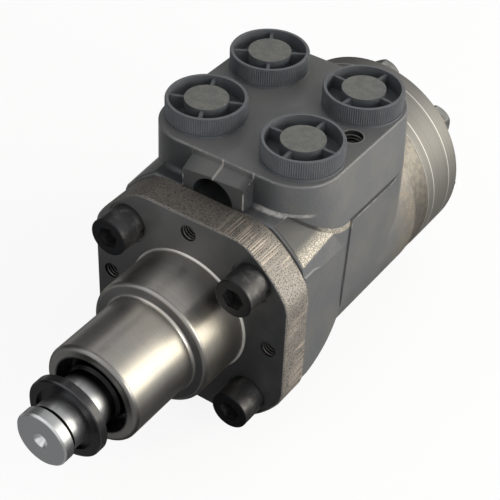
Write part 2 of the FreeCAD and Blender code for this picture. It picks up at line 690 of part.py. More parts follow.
def front_face_cuts():
    """Tapped holes for the flange screws and the cored hole under the bridge."""
    screw_hole_end = HOUSING_FRONT + FLANGE_SCREW_REACH + 1
    hole_r = FLANGE_SCREW_R + SLIDE_GAP
    cuts = [rod(hole_r, HOUSING_FRONT - 1, screw_hole_end, x, z) for x, z in square_places(FLANGE_SCREW_SPACING)]
    cuts.append(rod(CORE_HOLE_R, HOUSING_FRONT - 1, HOUSING_FRONT + CORE_HOLE_DEPTH, 0, CORE_HOLE_Z))
    return cuts


def valve_housing():
    body = housing_casting()
    for cuts in (valve_bore(), port_cuts(), face_hole_cuts(), rear_face_cuts(), front_face_cuts()):
        body = body.cut(cuts)
    return body


def circlip_front():
    return SEAL_Y - SEAT_GAP - CIRCLIP_THICKNESS


def neck_bearing_shell():
    """Drawn cup of the needle bearing, pressed into the neck."""
    start = BEARING_Y - BEARING_LENGTH / 2
    end = BEARING_Y + BEARING_LENGTH / 2
    inner = SHAFT_BEARING_R + 2 * NEEDLE_R + 2 * SLIDE_GAP
    lip = inner - 1.6
    body = tube(NECK_SEAT_R, inner, start, end)
    body = body.fuse(tube(NECK_SEAT_R, lip, start, start + 0.8))
    return body.fuse(tube(NECK_SEAT_R, lip, end - 0.8, end)).removeSplitter()


def needle_places():
    return [360.0 / NEEDLES * k for k in range(NEEDLES)]


def neck_bearing_needles():
    """Loose needles of the neck bearing."""
    radius = SHAFT_BEARING_R + SLIDE_GAP + NEEDLE_R
    needles = []
    for angle in needle_places():
        x, z = polar(radius, angle)
        needles.append(rod(NEEDLE_R, BEARING_Y - NEEDLE_LENGTH / 2, BEARING_Y + NEEDLE_LENGTH / 2, x, z))
    return Part.makeCompound(needles)


def neck_bearing_cage():
    """Thin cage that keeps the needles apart."""
    middle = SHAFT_BEARING_R + SLIDE_GAP + NEEDLE_R
    half = BEARING_LENGTH / 2 - 1.0
    ring = tube(middle + 0.6, middle - 0.6, BEARING_Y - half, BEARING_Y + half)
    reach = NEEDLE_R + SEAT_GAP
    length = NEEDLE_LENGTH / 2 + SEAT_GAP
    window = box(middle - 2, middle + 2, BEARING_Y - length, BEARING_Y + length, -reach, reach)
    return ring.cut([around(window, angle) for angle in needle_places()])


def neck_seal():
    """Rotary lip seal in front of the needle bearing."""
    lip = SHAFT_BEARING_R + SEAT_GAP
    return turned([
        (SEAL_Y, NECK_SEAT_R), (SEAL_Y, NECK_SEAT_R - 1.2), (SEAL_Y + 0.8, NECK_SEAT_R - 1.6),
        (SEAL_Y + 0.8, lip + 0.9), (SEAL_Y + 1.6, lip), (SEAL_Y + 2.4, lip),
        (SEAL_Y + SEAL_LENGTH, lip + 1.0), (SEAL_Y + SEAL_LENGTH, NECK_SEAT_R),
    ])


def neck_circlip():
    """Retaining ring in the neck bore, with two plier lugs."""
    front = circlip_front()
    rear = front + CIRCLIP_THICKNESS
    outer = NECK_SEAT_R + CIRCLIP_DEPTH - SLIDE_GAP
    inner = NECK_SEAT_R + CIRCLIP_DEPTH - CIRCLIP_WIDTH
    ring = tube(outer, inner, front, rear)
    lugs = []
    for side in (-1, 1):
        x, z = polar(inner - CIRCLIP_LUG / 2 + 1.6, side * CIRCLIP_OPENING / 2 + side * 6)
        lugs.append(rod(CIRCLIP_LUG / 2, front, rear, x, z).cut(rod(0.8, front, rear, x, z)))
    reach = outer + 1
    x, z = polar(reach, CIRCLIP_OPENING / 2)
    wedge = [vec(0, front, 0), vec(x, front, z), vec(reach * 1.3, front, 0), vec(x, front, -z)]
    opening = Part.Face(Part.makePolygon(wedge + wedge[:1])).extrude(Y_AXIS * CIRCLIP_THICKNESS)
    clip = ring.cut(opening).multiFuse(lugs).common(rod(outer, front, rear)).removeSplitter()
    return around(clip, CIRCLIP_TURN)


def spool_seal():
    """Square ring that seals the spool nose in the flange."""
    rear = SPOOL_SEAL_Y + SPOOL_SEAL_WIDTH - SEAT_GAP
    return tube(NOSE_CHAMBER_R, SPOOL_R + RUNNING_FIT, SPOOL_SEAL_Y + SEAT_GAP, rear)


def thrust_race(start):
    return tube(THRUST_OUTER_R, THRUST_INNER_R, start, start + THRUST_RACE)


def thrust_angles():
    return [360.0 / THRUST_NEEDLES * k for k in range(THRUST_NEEDLES)]


def thrust_middle():
    return SPIGOT_REAR + THRUST_RACE + THRUST_NEEDLE_R + SEAT_GAP / 2


def thrust_needles():
    """Needles of the thrust bearing, lying like spokes."""
    start = (THRUST_OUTER_R + THRUST_INNER_R - THRUST_NEEDLE_LENGTH) / 2
    needle = Part.makeCylinder(THRUST_NEEDLE_R, THRUST_NEEDLE_LENGTH, vec(start, thrust_middle(), 0), X_AXIS)
    return Part.makeCompound([around(needle, angle) for angle in thrust_angles()])


def thrust_cage():
    middle = thrust_middle()
    half = THRUST_CAGE / 2
    ring = tube(THRUST_OUTER_R, THRUST_INNER_R, middle - half, middle + half)
    start = (THRUST_OUTER_R + THRUST_INNER_R - THRUST_NEEDLE_LENGTH) / 2 - SEAT_GAP
    end = start + THRUST_NEEDLE_LENGTH + 2 * SEAT_GAP
    reach = THRUST_NEEDLE_R + SEAT_GAP
    window = box(start, end, middle - half, middle + half, -reach, reach)
    return ring.cut([around(window, angle) for angle in thrust_angles()])


def spring_slots():
    """Opening through spool and sleeve for the centring springs."""
    half = SPRING_WIDTH / 2 + SLIDE_GAP
    height = SPRING_SLOT_HALF_HEIGHT
    return box(-SLEEVE_R - 1, SLEEVE_R + 1, SPRING_Y - half, SPRING_Y + half, -height, height)


def control_sleeve():
    """Outer valve member, with its rows of holes for the ports and the metering."""
    body = tube(SLEEVE_R, SLEEVE_BORE_R, SLEEVE_FRONT, VALVE_REAR)
    cuts = [spring_slots(), Part.makeCylinder(PIN_R, 2 * SLEEVE_R + 2, vec(-SLEEVE_R - 1, PIN_Y, 0), X_AXIS)]
    for row, y in enumerate(PORT_GROOVE_Y):
        drill = Part.makeCylinder(1.6, SLEEVE_R, vec(0, y, 0), X_AXIS)
        cuts += [around(drill, 30 + 60 * k + 15 * (row % 2)) for k in range(6)]
    drill = Part.makeCylinder(METER_RADIAL_R, SLEEVE_R, vec(0, METER_ROW_Y, 0), X_AXIS)
    cuts += [around(drill, COVER_SCREW_ANGLE + 60 * k) for k in range(STAR_TEETH)]
    return body.cut(cuts)


def control_spool():
    """Inner valve member, with axial slots, pin windows and a splined nose."""
    body = tube(SPOOL_R, SPOOL_BORE_R, SPOOL_NOSE_Y, VALVE_REAR)
    web_end = SPOOL_NOSE_Y + SHAFT_SPLINE_LENGTH + 1
    body = body.fuse(rod(SPOOL_BORE_R, SPOOL_NOSE_Y, web_end)).removeSplitter()
    tip = SHAFT_SPLINE_TIP_R + SPLINE_RADIAL_GAP
    root = SHAFT_SPLINE_ROOT_R + SPLINE_RADIAL_GAP
    spline = spline_bar(SPLINE_TEETH, tip, root, -SHAFT_SPLINE_FLANK, SPOOL_NOSE_Y, web_end)
    window = Part.makeCylinder(PIN_SLOT_R, 2 * SPOOL_R + 2, vec(-SPOOL_R - 1, PIN_Y, 0), X_AXIS)
    cuts = [spline, spring_slots(), window]
    slot = box(SPOOL_R - 1.2, SPOOL_R + 1, PORT_GROOVE_Y[1], METER_ROW_Y + 3, -1.5, 1.5)
    cuts += [around(slot, 30 + 60 * k) for k in range(STAR_TEETH)]
    return body.cut(cuts)


def cross_pin():
    """Pin that ties the sleeve to the cardan through the spool's wide windows."""
    half = SLEEVE_R - 0.4
    pin = Part.makeCylinder(PIN_R, 2 * half, vec(-half, PIN_Y, 0), X_AXIS)
    ends = circle_edges(pin, PIN_R, half, 0) + circle_edges(pin, PIN_R, -half, 0)
    return pin.makeChamfer(0.5, ends)


def spring_ring():
    """Ring around the sleeve that keeps the springs and the pin in place."""
    inner = SLEEVE_R + SLIDE_GAP
    half = SPRING_RING_WIDTH / 2
    return tube(inner + SPRING_RING_THICKNESS, inner, SPRING_Y - half, SPRING_Y + half)


def leaf(level, side):
    """One bowed leaf. Its back is level above the axis plane at the middle."""
    half = SLEEVE_R - 0.5
    outer = SPRING_BOW_R - level
    inner = outer - SPRING_LEAF
    base = vec(0, SPRING_Y - SPRING_WIDTH / 2, SPRING_BOW_R)
    shell = Part.makeCylinder(outer, SPRING_WIDTH, base, Y_AXIS)
    shell = shell.cut(Part.makeCylinder(inner, SPRING_WIDTH, base, Y_AXIS))
    window = box(-half, half, SPRING_Y - SPRING_WIDTH, SPRING_Y + SPRING_WIDTH, 0, SPRING_SLOT_HALF_HEIGHT)
    arc = shell.common(window)
    if side < 0:
        arc.rotate(vec(0, 0, 0), X_AXIS, 180)
        arc.translate(vec(0, 2 * SPRING_Y, 0))
    return arc


def leaf_springs():
    """Two packs of bowed leaves, back to back at the middle and spread at the ends."""
    leaves = []
    for side in (1, -1):
        for k in range(SPRING_LEAVES):
            leaves.append(leaf(SLIDE_GAP + k * (SPRING_LEAF + SLIDE_GAP), side))
    return Part.makeCompound(leaves)


def input_shaft():
    """Steering input shaft with its front end, bearing journal and rear spline."""
    neck_start = SHAFT_END_Y + SHAFT_END_LENGTH
    groove_end = neck_start + SHAFT_GROOVE_WIDTH
    collar_rear = SHAFT_COLLAR_Y + COLLAR_THICKNESS
    body = turned([
        (SHAFT_END_Y, 0), (SHAFT_END_Y, SHAFT_END_R - SHAFT_BREAK), (SHAFT_END_Y + SHAFT_BREAK, SHAFT_END_R),
        (neck_start, SHAFT_END_R), (neck_start, SHAFT_GROOVE_R), (groove_end, SHAFT_GROOVE_R),
        (groove_end, SHAFT_NECK_R), (collar_rear, SHAFT_NECK_R), (collar_rear, SHAFT_JOURNAL_R),
        (SHAFT_BEARING_START - 1.2, SHAFT_JOURNAL_R), (SHAFT_BEARING_START, SHAFT_BEARING_R),
        (SHAFT_BEARING_END, SHAFT_BEARING_R), (SHAFT_BEARING_END + 1.5, SHAFT_INNER_R),
        (SPOOL_NOSE_Y - SEAT_GAP, SHAFT_INNER_R), (SPOOL_NOSE_Y - SEAT_GAP, 0),
    ])
    spline = spline_bar(SPLINE_TEETH, SHAFT_SPLINE_TIP_R, SHAFT_SPLINE_ROOT_R, SHAFT_SPLINE_FLANK,
                        SPOOL_NOSE_Y - 1, SPOOL_NOSE_Y + SHAFT_SPLINE_LENGTH)
    drill = Part.makeCone(CENTRE_DRILL_R, 0.6, CENTRE_DRILL_DEPTH, vec(0, SHAFT_END_Y, 0), Y_AXIS)
    return body.fuse(spline).cut(drill).removeSplitter()


def shaft_collar():
    """Collar pressed on the shaft in front of the neck."""
    front = SHAFT_COLLAR_Y
    rear = SHAFT_COLLAR_Y + COLLAR_THICKNESS
    return turned([
        (rear, SHAFT_NECK_R), (front + COLLAR_RECESS_DEPTH, SHAFT_NECK_R),
        (front + COLLAR_RECESS_DEPTH, COLLAR_RECESS_R), (front, COLLAR_RECESS_R + 0.5),
        (front, COLLAR_R - COLLAR_BREAK), (front + COLLAR_BREAK, COLLAR_R),
        (rear, COLLAR_R),
    ])


def tilted(shape):
    """Move a piece made on the shaft axis onto the slanting axis of the cardan."""
    shape.rotate(vec(0, PIN_Y, 0), X_AXIS, CARDAN_TILT)
    return shape


def cardan_shaft():
    """Dog-bone drive between the cross pin and the star, slotted and splined."""
    fork_start = PIN_Y - CARDAN_FORK_FRONT
    fork_end = PIN_Y + CARDAN_FORK_BACK
    head_middle = PIN_Y + math.hypot(GEAR_MIDDLE - PIN_Y, ECCENTRICITY)
    head_start = head_middle - CARDAN_SPLINE_LENGTH / 2
    head_end = head_middle + CARDAN_SPLINE_LENGTH / 2
    body = turned([
        (fork_start, 0), (fork_start, CARDAN_FORK_R - 1.5), (fork_start + 2.5, CARDAN_FORK_R),
        (fork_end, CARDAN_FORK_R), (fork_end + 3, CARDAN_SHAFT_R), (head_start - 1.2, CARDAN_SHAFT_R),
        (head_start + 0.2, CARDAN_SPLINE_ROOT_R - 0.2), (head_start + 0.2, 0),
    ])
    tip = CARDAN_SPLINE_TIP_R
    head = spline_bar(SPLINE_TEETH, tip, CARDAN_SPLINE_ROOT_R, CARDAN_SPLINE_FLANK, head_start, head_end)
    head = head.common(crown_barrel(head_middle, head_start, head_end))
    half = PIN_R + CARDAN_PIN_GAP
    slot = box(-CARDAN_FORK_R - 1, CARDAN_FORK_R + 1, fork_start - 1, PIN_Y + CARDAN_SLOT_DEPTH, -half, half)
    return tilted(body.fuse(head).cut(slot).removeSplitter())


def crown_barrel(middle, start, end):
    """Barrel whose side is one arc, fullest at the middle station."""
    half = (end - start) / 2
    drop = CARDAN_CROWN_R - math.sqrt(CARDAN_CROWN_R ** 2 - half ** 2)
    end_r = CARDAN_SPLINE_TIP_R - drop
    arc = Part.Arc(vec(end_r, start, 0), vec(CARDAN_SPLINE_TIP_R, middle, 0), vec(end_r, end, 0)).toShape()
    sides = Part.makePolygon([vec(end_r, end, 0), vec(0, end, 0), vec(0, start, 0), vec(end_r, start, 0)])
    return Part.Face(Part.Wire([arc] + sides.Edges)).revolve(ORIGIN, Y_AXIS, 360)


def distributor_plate():
    """Plate between the valve and the gear set, with one passage per pocket."""
    body = tube(STACK_R, PLATE_BORE_R, HOUSING_REAR, PLATE_REAR)
    return body.cut(cover_screw_holes(HOUSING_REAR, PLATE_REAR) + meter_holes(HOUSING_REAR, PLATE_REAR))


def gear_ring():
    """Outer gear: a ring with seven round lobes standing into its bore."""
    pocket_r = LOBE_CIRCLE_R - LOBE_R + 2 * ECCENTRICITY + POCKET_GAP
    body = tube(STACK_R, pocket_r, PLATE_REAR, GEAR_REAR)
    lobes = []
    for k in range(RING_TEETH):
        x, z = polar(LOBE_CIRCLE_R, COVER_SCREW_ANGLE + LOBE_STEP * k)
        lobes.append(rod(LOBE_R, PLATE_REAR, GEAR_REAR, x, z))
    body = body.multiFuse(lobes).removeSplitter()
    grooves = [face_groove(GEAR_REAR)]
    grooves.append(face_groove(PLATE_REAR + 2 * FACE_RING_SECTION_R))
    return body.cut(cover_screw_holes(PLATE_REAR, GEAR_REAR) + grooves)


def star_point(turn):
    """Point of the star's outline, set in from the path of a lobe centre."""
    path_x = LOBE_CIRCLE_R * math.cos(turn) + ECCENTRICITY * math.cos(RING_TEETH * turn)
    path_z = LOBE_CIRCLE_R * math.sin(turn) + ECCENTRICITY * math.sin(RING_TEETH * turn)
    normal_x = LOBE_CIRCLE_R * math.cos(turn) + RING_TEETH * ECCENTRICITY * math.cos(RING_TEETH * turn)
    normal_z = LOBE_CIRCLE_R * math.sin(turn) + RING_TEETH * ECCENTRICITY * math.sin(RING_TEETH * turn)
    length = math.hypot(normal_x, normal_z)
    inset = LOBE_R + GEAR_GAP
    return vec(path_x - inset * normal_x / length, 0, path_z - inset * normal_z / length)


def gear_star():
    """Six-toothed inner gear on its eccentric centre, with the cardan's spline bore."""
    steps = 12
    tooth = 2 * math.pi / STAR_TEETH
    edges = []
    for k in range(STAR_TEETH):
        for half in (0, 1):
            first = (k + half / 2) * tooth
            points = [star_point(first + tooth / 2 * i / steps) for i in range(steps + 1)]
            curve = Part.BSplineCurve()
            curve.interpolate(points)
            edges.append(curve.toShape())
    face = Part.Face(Part.Wire(edges))
    body = face.extrude(Y_AXIS * (GEAR_WIDTH - 2 * SLIDE_GAP))
    body.translate(vec(0, PLATE_REAR + SLIDE_GAP, 0))
    tip = CARDAN_SPLINE_TIP_R + SPLINE_RADIAL_GAP
    root = CARDAN_SPLINE_ROOT_R + SPLINE_RADIAL_GAP
    body = body.cut(spline_bar(SPLINE_TEETH, tip, root, 0.0, PLATE_REAR - 1, GEAR_REAR + 1))
    x, z = polar(ECCENTRICITY, star_side())
    body.translate(vec(x, 0, z))
    return body


def star_side():
    """Direction in which the star's centre is set off at rest."""
    return RING_TEETH * COVER_SCREW_ANGLE + 180


def cardan_spacer():
    """Loose disc in the star's bore that limits the cardan's end play."""
    x, z = polar(ECCENTRICITY, star_side())
    return rod(SPACER_R, GEAR_REAR - SPACER_THICKNESS - SEAT_GAP, GEAR_REAR - SEAT_GAP, x, z)


def end_cover():
    body = rod(STACK_R, GEAR_REAR, COVER_REAR)
    body = body.makeChamfer(COVER_EDGE_BREAK, circle_edges(body, STACK_R, COVER_REAR))
    return body.cut(cover_screw_holes(GEAR_REAR, COVER_REAR))


def cover_washers():
    rear = COVER_REAR + COVER_WASHER_THICKNESS
    inner = COVER_SCREW_R + 0.15
    washers = [tube(COVER_WASHER_R, inner, COVER_REAR, rear, x, z) for x, z in cover_screw_places()]
    return Part.makeCompound(washers)


def cover_screw(index):
    """Hexagon screw through cover, gear ring and plate into the housing."""
    x, z = cover_screw_places()[index]
    base = COVER_REAR + COVER_WASHER_THICKNESS
    end = base + COVER_HEAD_HEIGHT
    head = hexagon(COVER_HEAD_FLATS, base, end, x, z, COVER_HEAD_TURN + COVER_HEAD_STEP * index)
    crown_start = end - COVER_HEAD_CROWN
    narrow = COVER_HEAD_FLATS / 2 - 0.2
    crown = Part.makeCone(narrow + COVER_HEAD_CROWN, narrow, COVER_HEAD_CROWN, vec(x, crown_start, z), Y_AXIS)
    head = head.common(crown.fuse(rod(COVER_HEAD_FLATS, base, crown_start, x, z)))
    return head.fuse(rod(COVER_SCREW_R, HOUSING_REAR - COVER_SCREW_BITE, base, x, z)).removeSplitter()


def cover_screws():
    return Part.makeCompound([cover_screw(k) for k in range(RING_TEETH) if k != PIN_SCREW_INDEX])


def pin_screw():
    """The one cover screw whose front pin stops the check ball."""
    x, z = cover_screw_places()[PIN_SCREW_INDEX]
    tip = HOUSING_REAR - COVER_SCREW_BITE
    pin = rod(STOP_PIN_R, tip - STOP_PIN_LENGTH, tip, x, z)
    return cover_screw(PIN_SCREW_INDEX).fuse(pin).removeSplitter()


def check_bush():
    """Threaded bush that guides the pin screw over the check ball."""
    x, z = cover_screw_places()[PIN_SCREW_INDEX]
    return tube(BUSH_R, COVER_SCREW_R + SLIDE_GAP, HOUSING_REAR - BUSH_LENGTH, HOUSING_REAR - 0.5, x, z)


def check_ball_y():
    return HOUSING_REAR - COVER_SCREW_BITE - STOP_PIN_LENGTH - CHECK_BALL_TRAVEL - SEAT_GAP - CHECK_BALL_R


def check_ball():
    x, z = cover_screw_places()[PIN_SCREW_INDEX]
    return Part.makeSphere(CHECK_BALL_R, vec(x, check_ball_y(), z))


def port_plug(index):
    """Plastic transport plug: knurled rim, sunk ring, raised hub, four spokes and spigot."""
    x, y = port_places()[index]
    top = PORT_FACE_Z + PLUG_HEIGHT
    body = post(PLUG_R, PORT_FACE_Z, top, x, y)
    body = body.fuse(post(PLUG_LIP_R, PORT_FACE_Z, PORT_FACE_Z + PLUG_LIP_HEIGHT, x, y))
    body = body.cut(post(PLUG_R - PLUG_WALL, PORT_FACE_Z + PLUG_FLOOR, top + 1, x, y))
    pieces = [post(PLUG_HUB_R, PORT_FACE_Z, top - PLUG_HUB_DROP, x, y)]
    half = PLUG_SPOKE_WIDTH / 2
    reach = PLUG_R - PLUG_WALL / 2
    for turn in (0, 90):
        spoke = box(x - reach, x + reach, y - half, y + half, PORT_FACE_Z + PLUG_FLOOR, top - PLUG_SPOKE_DROP)
        spoke.rotate(vec(x, y, 0), Z_AXIS, PLUG_SPOKE_TURNS[index] + turn)
        pieces.append(spoke)
    spigot_r = PORT_MOUTH_R - SEAT_GAP
    bottom = PORT_FACE_Z - PORT_MOUTH_DEPTH + LOOSE_GAP
    pieces.append(post(spigot_r, bottom, PORT_FACE_Z, x, y))
    body = body.multiFuse(pieces)
    hollow = post(spigot_r - PLUG_SPIGOT_WALL, bottom, PORT_FACE_Z, x, y)
    cup = post(PLUG_HUB_R - PLUG_SPIGOT_WALL, bottom, top - PLUG_HUB_DROP - PLUG_SPIGOT_WALL, x, y)
    return body.cut([hollow, cup]).removeSplitter()


def build_pieces():
    pieces = {
        "neck_flange": neck_flange(),
        "flange_screws": flange_screws(),
        "flange_lock_washers": flange_lock_washers(),
        "flange_o_ring": flange_o_ring(),
        "valve_housing": valve_housing(),
        "neck_bearing_shell": neck_bearing_shell(),
        "neck_bearing_needles": neck_bearing_needles(),
        "neck_bearing_cage": neck_bearing_cage(),
        "neck_lip_seal": neck_seal(),
        "neck_circlip": neck_circlip(),
        "spool_seal_ring": spool_seal(),
        "thrust_race_front": thrust_race(SPIGOT_REAR),
        "thrust_race_rear": thrust_race(SLEEVE_FRONT - THRUST_RACE),
        "thrust_needles": thrust_needles(),
        "thrust_cage": thrust_cage(),
        "control_sleeve": control_sleeve(),
        "control_spool": control_spool(),
        "cross_pin": cross_pin(),
        "spring_ring": spring_ring(),
        "leaf_springs": leaf_springs(),
        "input_shaft": input_shaft(),
        "shaft_collar": shaft_collar(),
        "cardan_shaft": cardan_shaft(),
        "distributor_plate": distributor_plate(),
        "gear_ring": gear_ring(),
        "gear_star": gear_star(),
        "cardan_spacer": cardan_spacer(),
        "housing_face_o_ring": o_ring(FACE_RING_R, FACE_RING_SECTION_R, HOUSING_REAR - FACE_RING_SECTION_R),
        "ring_front_o_ring": o_ring(FACE_RING_R, FACE_RING_SECTION_R, PLATE_REAR + FACE_RING_SECTION_R),
        "ring_rear_o_ring": o_ring(FACE_RING_R, FACE_RING_SECTION_R, GEAR_REAR - FACE_RING_SECTION_R),
        "end_cover": end_cover(),
        "cover_washers": cover_washers(),
        "cover_screws": cover_screws(),
        "pin_screw": pin_screw(),
        "check_bush": check_bush(),
        "check_ball": check_ball(),
    }
    names = ("front_right", "front_left", "rear_right", "rear_left")
    for index, name in enumerate(names):
        pieces["port_plug_" + name] = port_plug(index)
    return pieces


os.makedirs("parts", exist_ok=True)
for node, shape in build_pieces().items():
    shape.exportStep("parts/" + node + ".step")
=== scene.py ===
import json
import math

import bpy
from mathutils import Matrix, Vector


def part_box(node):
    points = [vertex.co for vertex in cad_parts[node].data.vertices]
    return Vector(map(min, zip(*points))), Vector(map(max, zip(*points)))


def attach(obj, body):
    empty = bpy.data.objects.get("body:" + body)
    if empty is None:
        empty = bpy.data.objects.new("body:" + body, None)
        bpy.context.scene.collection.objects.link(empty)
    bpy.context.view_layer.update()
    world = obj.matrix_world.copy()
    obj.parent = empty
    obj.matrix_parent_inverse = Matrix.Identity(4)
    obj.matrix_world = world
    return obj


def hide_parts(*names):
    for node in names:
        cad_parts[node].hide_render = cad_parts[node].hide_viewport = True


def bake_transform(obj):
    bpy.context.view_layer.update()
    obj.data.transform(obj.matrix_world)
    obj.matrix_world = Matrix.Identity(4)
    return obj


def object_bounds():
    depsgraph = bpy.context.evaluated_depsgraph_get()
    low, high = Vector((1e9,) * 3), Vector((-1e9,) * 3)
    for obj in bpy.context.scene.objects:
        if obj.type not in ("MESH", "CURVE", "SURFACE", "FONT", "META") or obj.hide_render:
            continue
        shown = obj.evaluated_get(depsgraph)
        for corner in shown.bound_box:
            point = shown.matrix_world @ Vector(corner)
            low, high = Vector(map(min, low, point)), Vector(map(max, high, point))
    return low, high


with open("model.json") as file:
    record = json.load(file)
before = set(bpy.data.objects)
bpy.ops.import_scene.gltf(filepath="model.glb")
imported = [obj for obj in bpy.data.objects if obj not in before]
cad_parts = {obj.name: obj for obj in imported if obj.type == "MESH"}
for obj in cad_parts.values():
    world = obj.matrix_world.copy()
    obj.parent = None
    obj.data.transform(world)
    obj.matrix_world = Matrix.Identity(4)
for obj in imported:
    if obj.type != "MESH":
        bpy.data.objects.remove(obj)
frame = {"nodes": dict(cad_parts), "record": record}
cad_box = [list(corner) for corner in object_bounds()]
nodes = frame["nodes"]


# Camera. It looks down on the shaft end from the right of the unit, a little
# rolled, through a long lens, as fitted to edges and holes in the photograph.
AZIMUTH = math.radians(33.37)
ELEVATION = math.radians(39.89)
ROLL = math.radians(2.47)
DISTANCE = 0.5548
LENS = 102.45
SENSOR_WIDTH = 36
SIDEWAYS = 0.02432
UPWARDS = 0.02292

level = Vector((math.cos(AZIMUTH), math.sin(AZIMUTH), 0))
flat = math.cos(ELEVATION)
back = Vector((math.sin(AZIMUTH) * flat, -math.cos(AZIMUTH) * flat, math.sin(ELEVATION)))
upright = back.cross(level)
right = level * math.cos(ROLL) + upright * math.sin(ROLL)
up = upright * math.cos(ROLL) - level * math.sin(ROLL)
lens = bpy.data.cameras.new("photo_camera")
lens.lens = LENS
lens.sensor_width = SENSOR_WIDTH
lens.clip_start = 0.01
camera = bpy.data.objects.new("photo_camera", lens)
bpy.context.collection.objects.link(camera)
eye = right * SIDEWAYS + up * UPWARDS + back * DISTANCE
camera.matrix_world = Matrix.Translation(eye) @ Matrix((right, up, back)).transposed().to_4x4()
bpy.context.scene.camera = camera
bpy.context.scene.view_settings.view_transform = "Standard"


# Studio. A white floor under a white room: camera, glossy and clear rays see
# plain white. Soft lamps stand at the right, where the light of the photograph
# comes from, and cards that only reflections see give the metal its bands.
ROOM_LEVEL = 0.6
FLOOR_GLOW = 0.88
FLOOR_WHITE = (0.9, 0.9, 0.9)
FLOOR_SIZE = 6.0
FLOOR_DROP = 0.0005
TABLE_CARD_LIFT = 0.0002
CONTACT_CARD_LIFT = 0.0003
LAMP_TARGET = (0, 0.02, 0)
WINDOW_PLACE = (0.80, 0.70, 0.26)
WINDOW_WARM = (1.0, 0.96, 0.84)


class Field:
    """A value that varies over a surface, so that sums and products add shader nodes."""

    def __init__(self, tree, socket=None):
        self.tree = tree
        self.socket = socket

    def node(self, kind, settings=None, inputs=None, out=0):
        """Adds a node, first its settings, then the values or links of its sockets."""
        made = self.tree.nodes.new("ShaderNode" + kind)
        for name, value in (settings or {}).items():
            setattr(made, name, value)
        for name, value in (inputs or {}).items():
            if isinstance(value, Field):
                self.tree.links.new(value.socket, made.inputs[name])
            else:
                made.inputs[name].default_value = value
        return Field(self.tree, made.outputs[out]) if made.outputs else None

    def maths(self, operation, first, second=0.0):
        return self.node("Math", {"operation": operation}, {0: first, 1: second})

    def __add__(self, other):
        return self.maths("ADD", self, other)

    def __radd__(self, other):
        return self.maths("ADD", other, self)

    def __sub__(self, other):
        return self.maths("SUBTRACT", self, other)

    def __rsub__(self, other):
        return self.maths("SUBTRACT", other, self)

    def __mul__(self, other):
        return self.maths("MULTIPLY", self, other)

    def __rmul__(self, other):
        return self.maths("MULTIPLY", other, self)

    def __pow__(self, other):
        return self.maths("POWER", self, other)

    def __abs__(self):
        return self.maths("ABSOLUTE", self)

    def largest(self, other):
        return self.maths("MAXIMUM", self, other)

    def smallest(self, other):
        return self.maths("MINIMUM", self, other)

    def rise(self, start, end):
        """0 below start, 1 above end, smooth between them."""
        settings = {"interpolation_type": "SMOOTHSTEP"}
        if end > start:
            return self.node("MapRange", settings, {"Value": self, "From Min": start, "From Max": end})
        inputs = {"Value": self, "From Min": end, "From Max": start, "To Min": 1.0, "To Max": 0.0}
        return self.node("MapRange", settings, inputs)


def mix_colours(mask, off, on):
    """Colour that goes from off to on as the mask goes from 0 to 1."""
    as_socket = [c if isinstance(c, Field) else (*c, 1) for c in (off, on)]
    return mask.node("Mix", {"data_type": "RGBA"}, {"Factor": mask, 6: as_socket[0], 7: as_socket[1]}, 2)


def blank_material(name):
    """New material without nodes, and a field to start its node tree from."""
    material = bpy.data.materials.new(name)
    material.use_nodes = True
    material.node_tree.nodes.clear()
    return material, Field(material.node_tree)


def eye_rays(start):
    """1 for rays of the camera, of reflections and of clear pieces, 0 for light that falls on things."""
    kinds = ("Is Camera Ray", "Is Glossy Ray", "Is Transmission Ray")
    straight, glossy, clear = [start.node("LightPath", out=kind) for kind in kinds]
    return straight.largest(glossy).largest(clear)


def stage_material(name, colour, glow):
    """White surface, partly its own light to the camera and to reflections."""
    material, start = blank_material(name)
    matte = start.node("BsdfDiffuse", None, {"Color": (*colour, 1)})
    light = start.node("Emission", None, {"Color": (1, 1, 1, 1), "Strength": 1.0})
    both = start.node("MixShader", None, {0: eye_rays(start) * glow, 1: matte, 2: light})
    start.node("OutputMaterial", None, {"Surface": both})
    return material


def soft_lamp(name, place, size, power, colour):
    """Square lamp that shines at the unit."""
    lamp = bpy.data.lights.new(name, "AREA")
    lamp.size = size
    lamp.energy = power
    lamp.color = colour
    holder = bpy.data.objects.new(name, lamp)
    bpy.context.collection.objects.link(holder)
    holder.location = place
    holder.rotation_euler = (Vector(LAMP_TARGET) - Vector(place)).to_track_quat("-Z", "Y").to_euler()
    return holder


def studio_card(name, size, place, level, turn=(0, 0, 0), tint=(1, 1, 1)):
    """Backdrop card of one tone that shows in reflections only."""
    bpy.ops.mesh.primitive_plane_add(size=1, location=place, rotation=[math.radians(angle) for angle in turn])
    card = bpy.context.object
    card.name = name
    card.scale = (*size, 1)
    material, start = blank_material(name)
    glow = start.node("Emission", None, {"Color": (*tint, 1), "Strength": level})
    start.node("OutputMaterial", None, {"Surface": glow})
    card.data.materials.append(material)
    card.visible_camera = False
    card.visible_diffuse = False
    card.visible_transmission = False
    card.visible_shadow = False


world = bpy.data.worlds.new("white_room")
bpy.context.scene.world = world
world.use_nodes = True
world.node_tree.nodes.clear()
room = Field(world.node_tree)
white = room.node("Background", None, {"Color": (1, 1, 1, 1), "Strength": 1.0})
plain = room.node("Background", None, {"Color": (1, 1, 1, 1), "Strength": ROOM_LEVEL})
backdrop = room.node("MixShader", None, {0: eye_rays(room), 1: plain, 2: white})
room.node("OutputWorld", None, {"Surface": backdrop})

floor_level = cad_box[0][2] - FLOOR_DROP
bpy.ops.mesh.primitive_plane_add(size=FLOOR_SIZE, location=(0, 0, floor_level))
floor = bpy.context.object
floor.name = "studio_floor"
floor.data.materials.append(stage_material("studio_white", FLOOR_WHITE, FLOOR_GLOW))

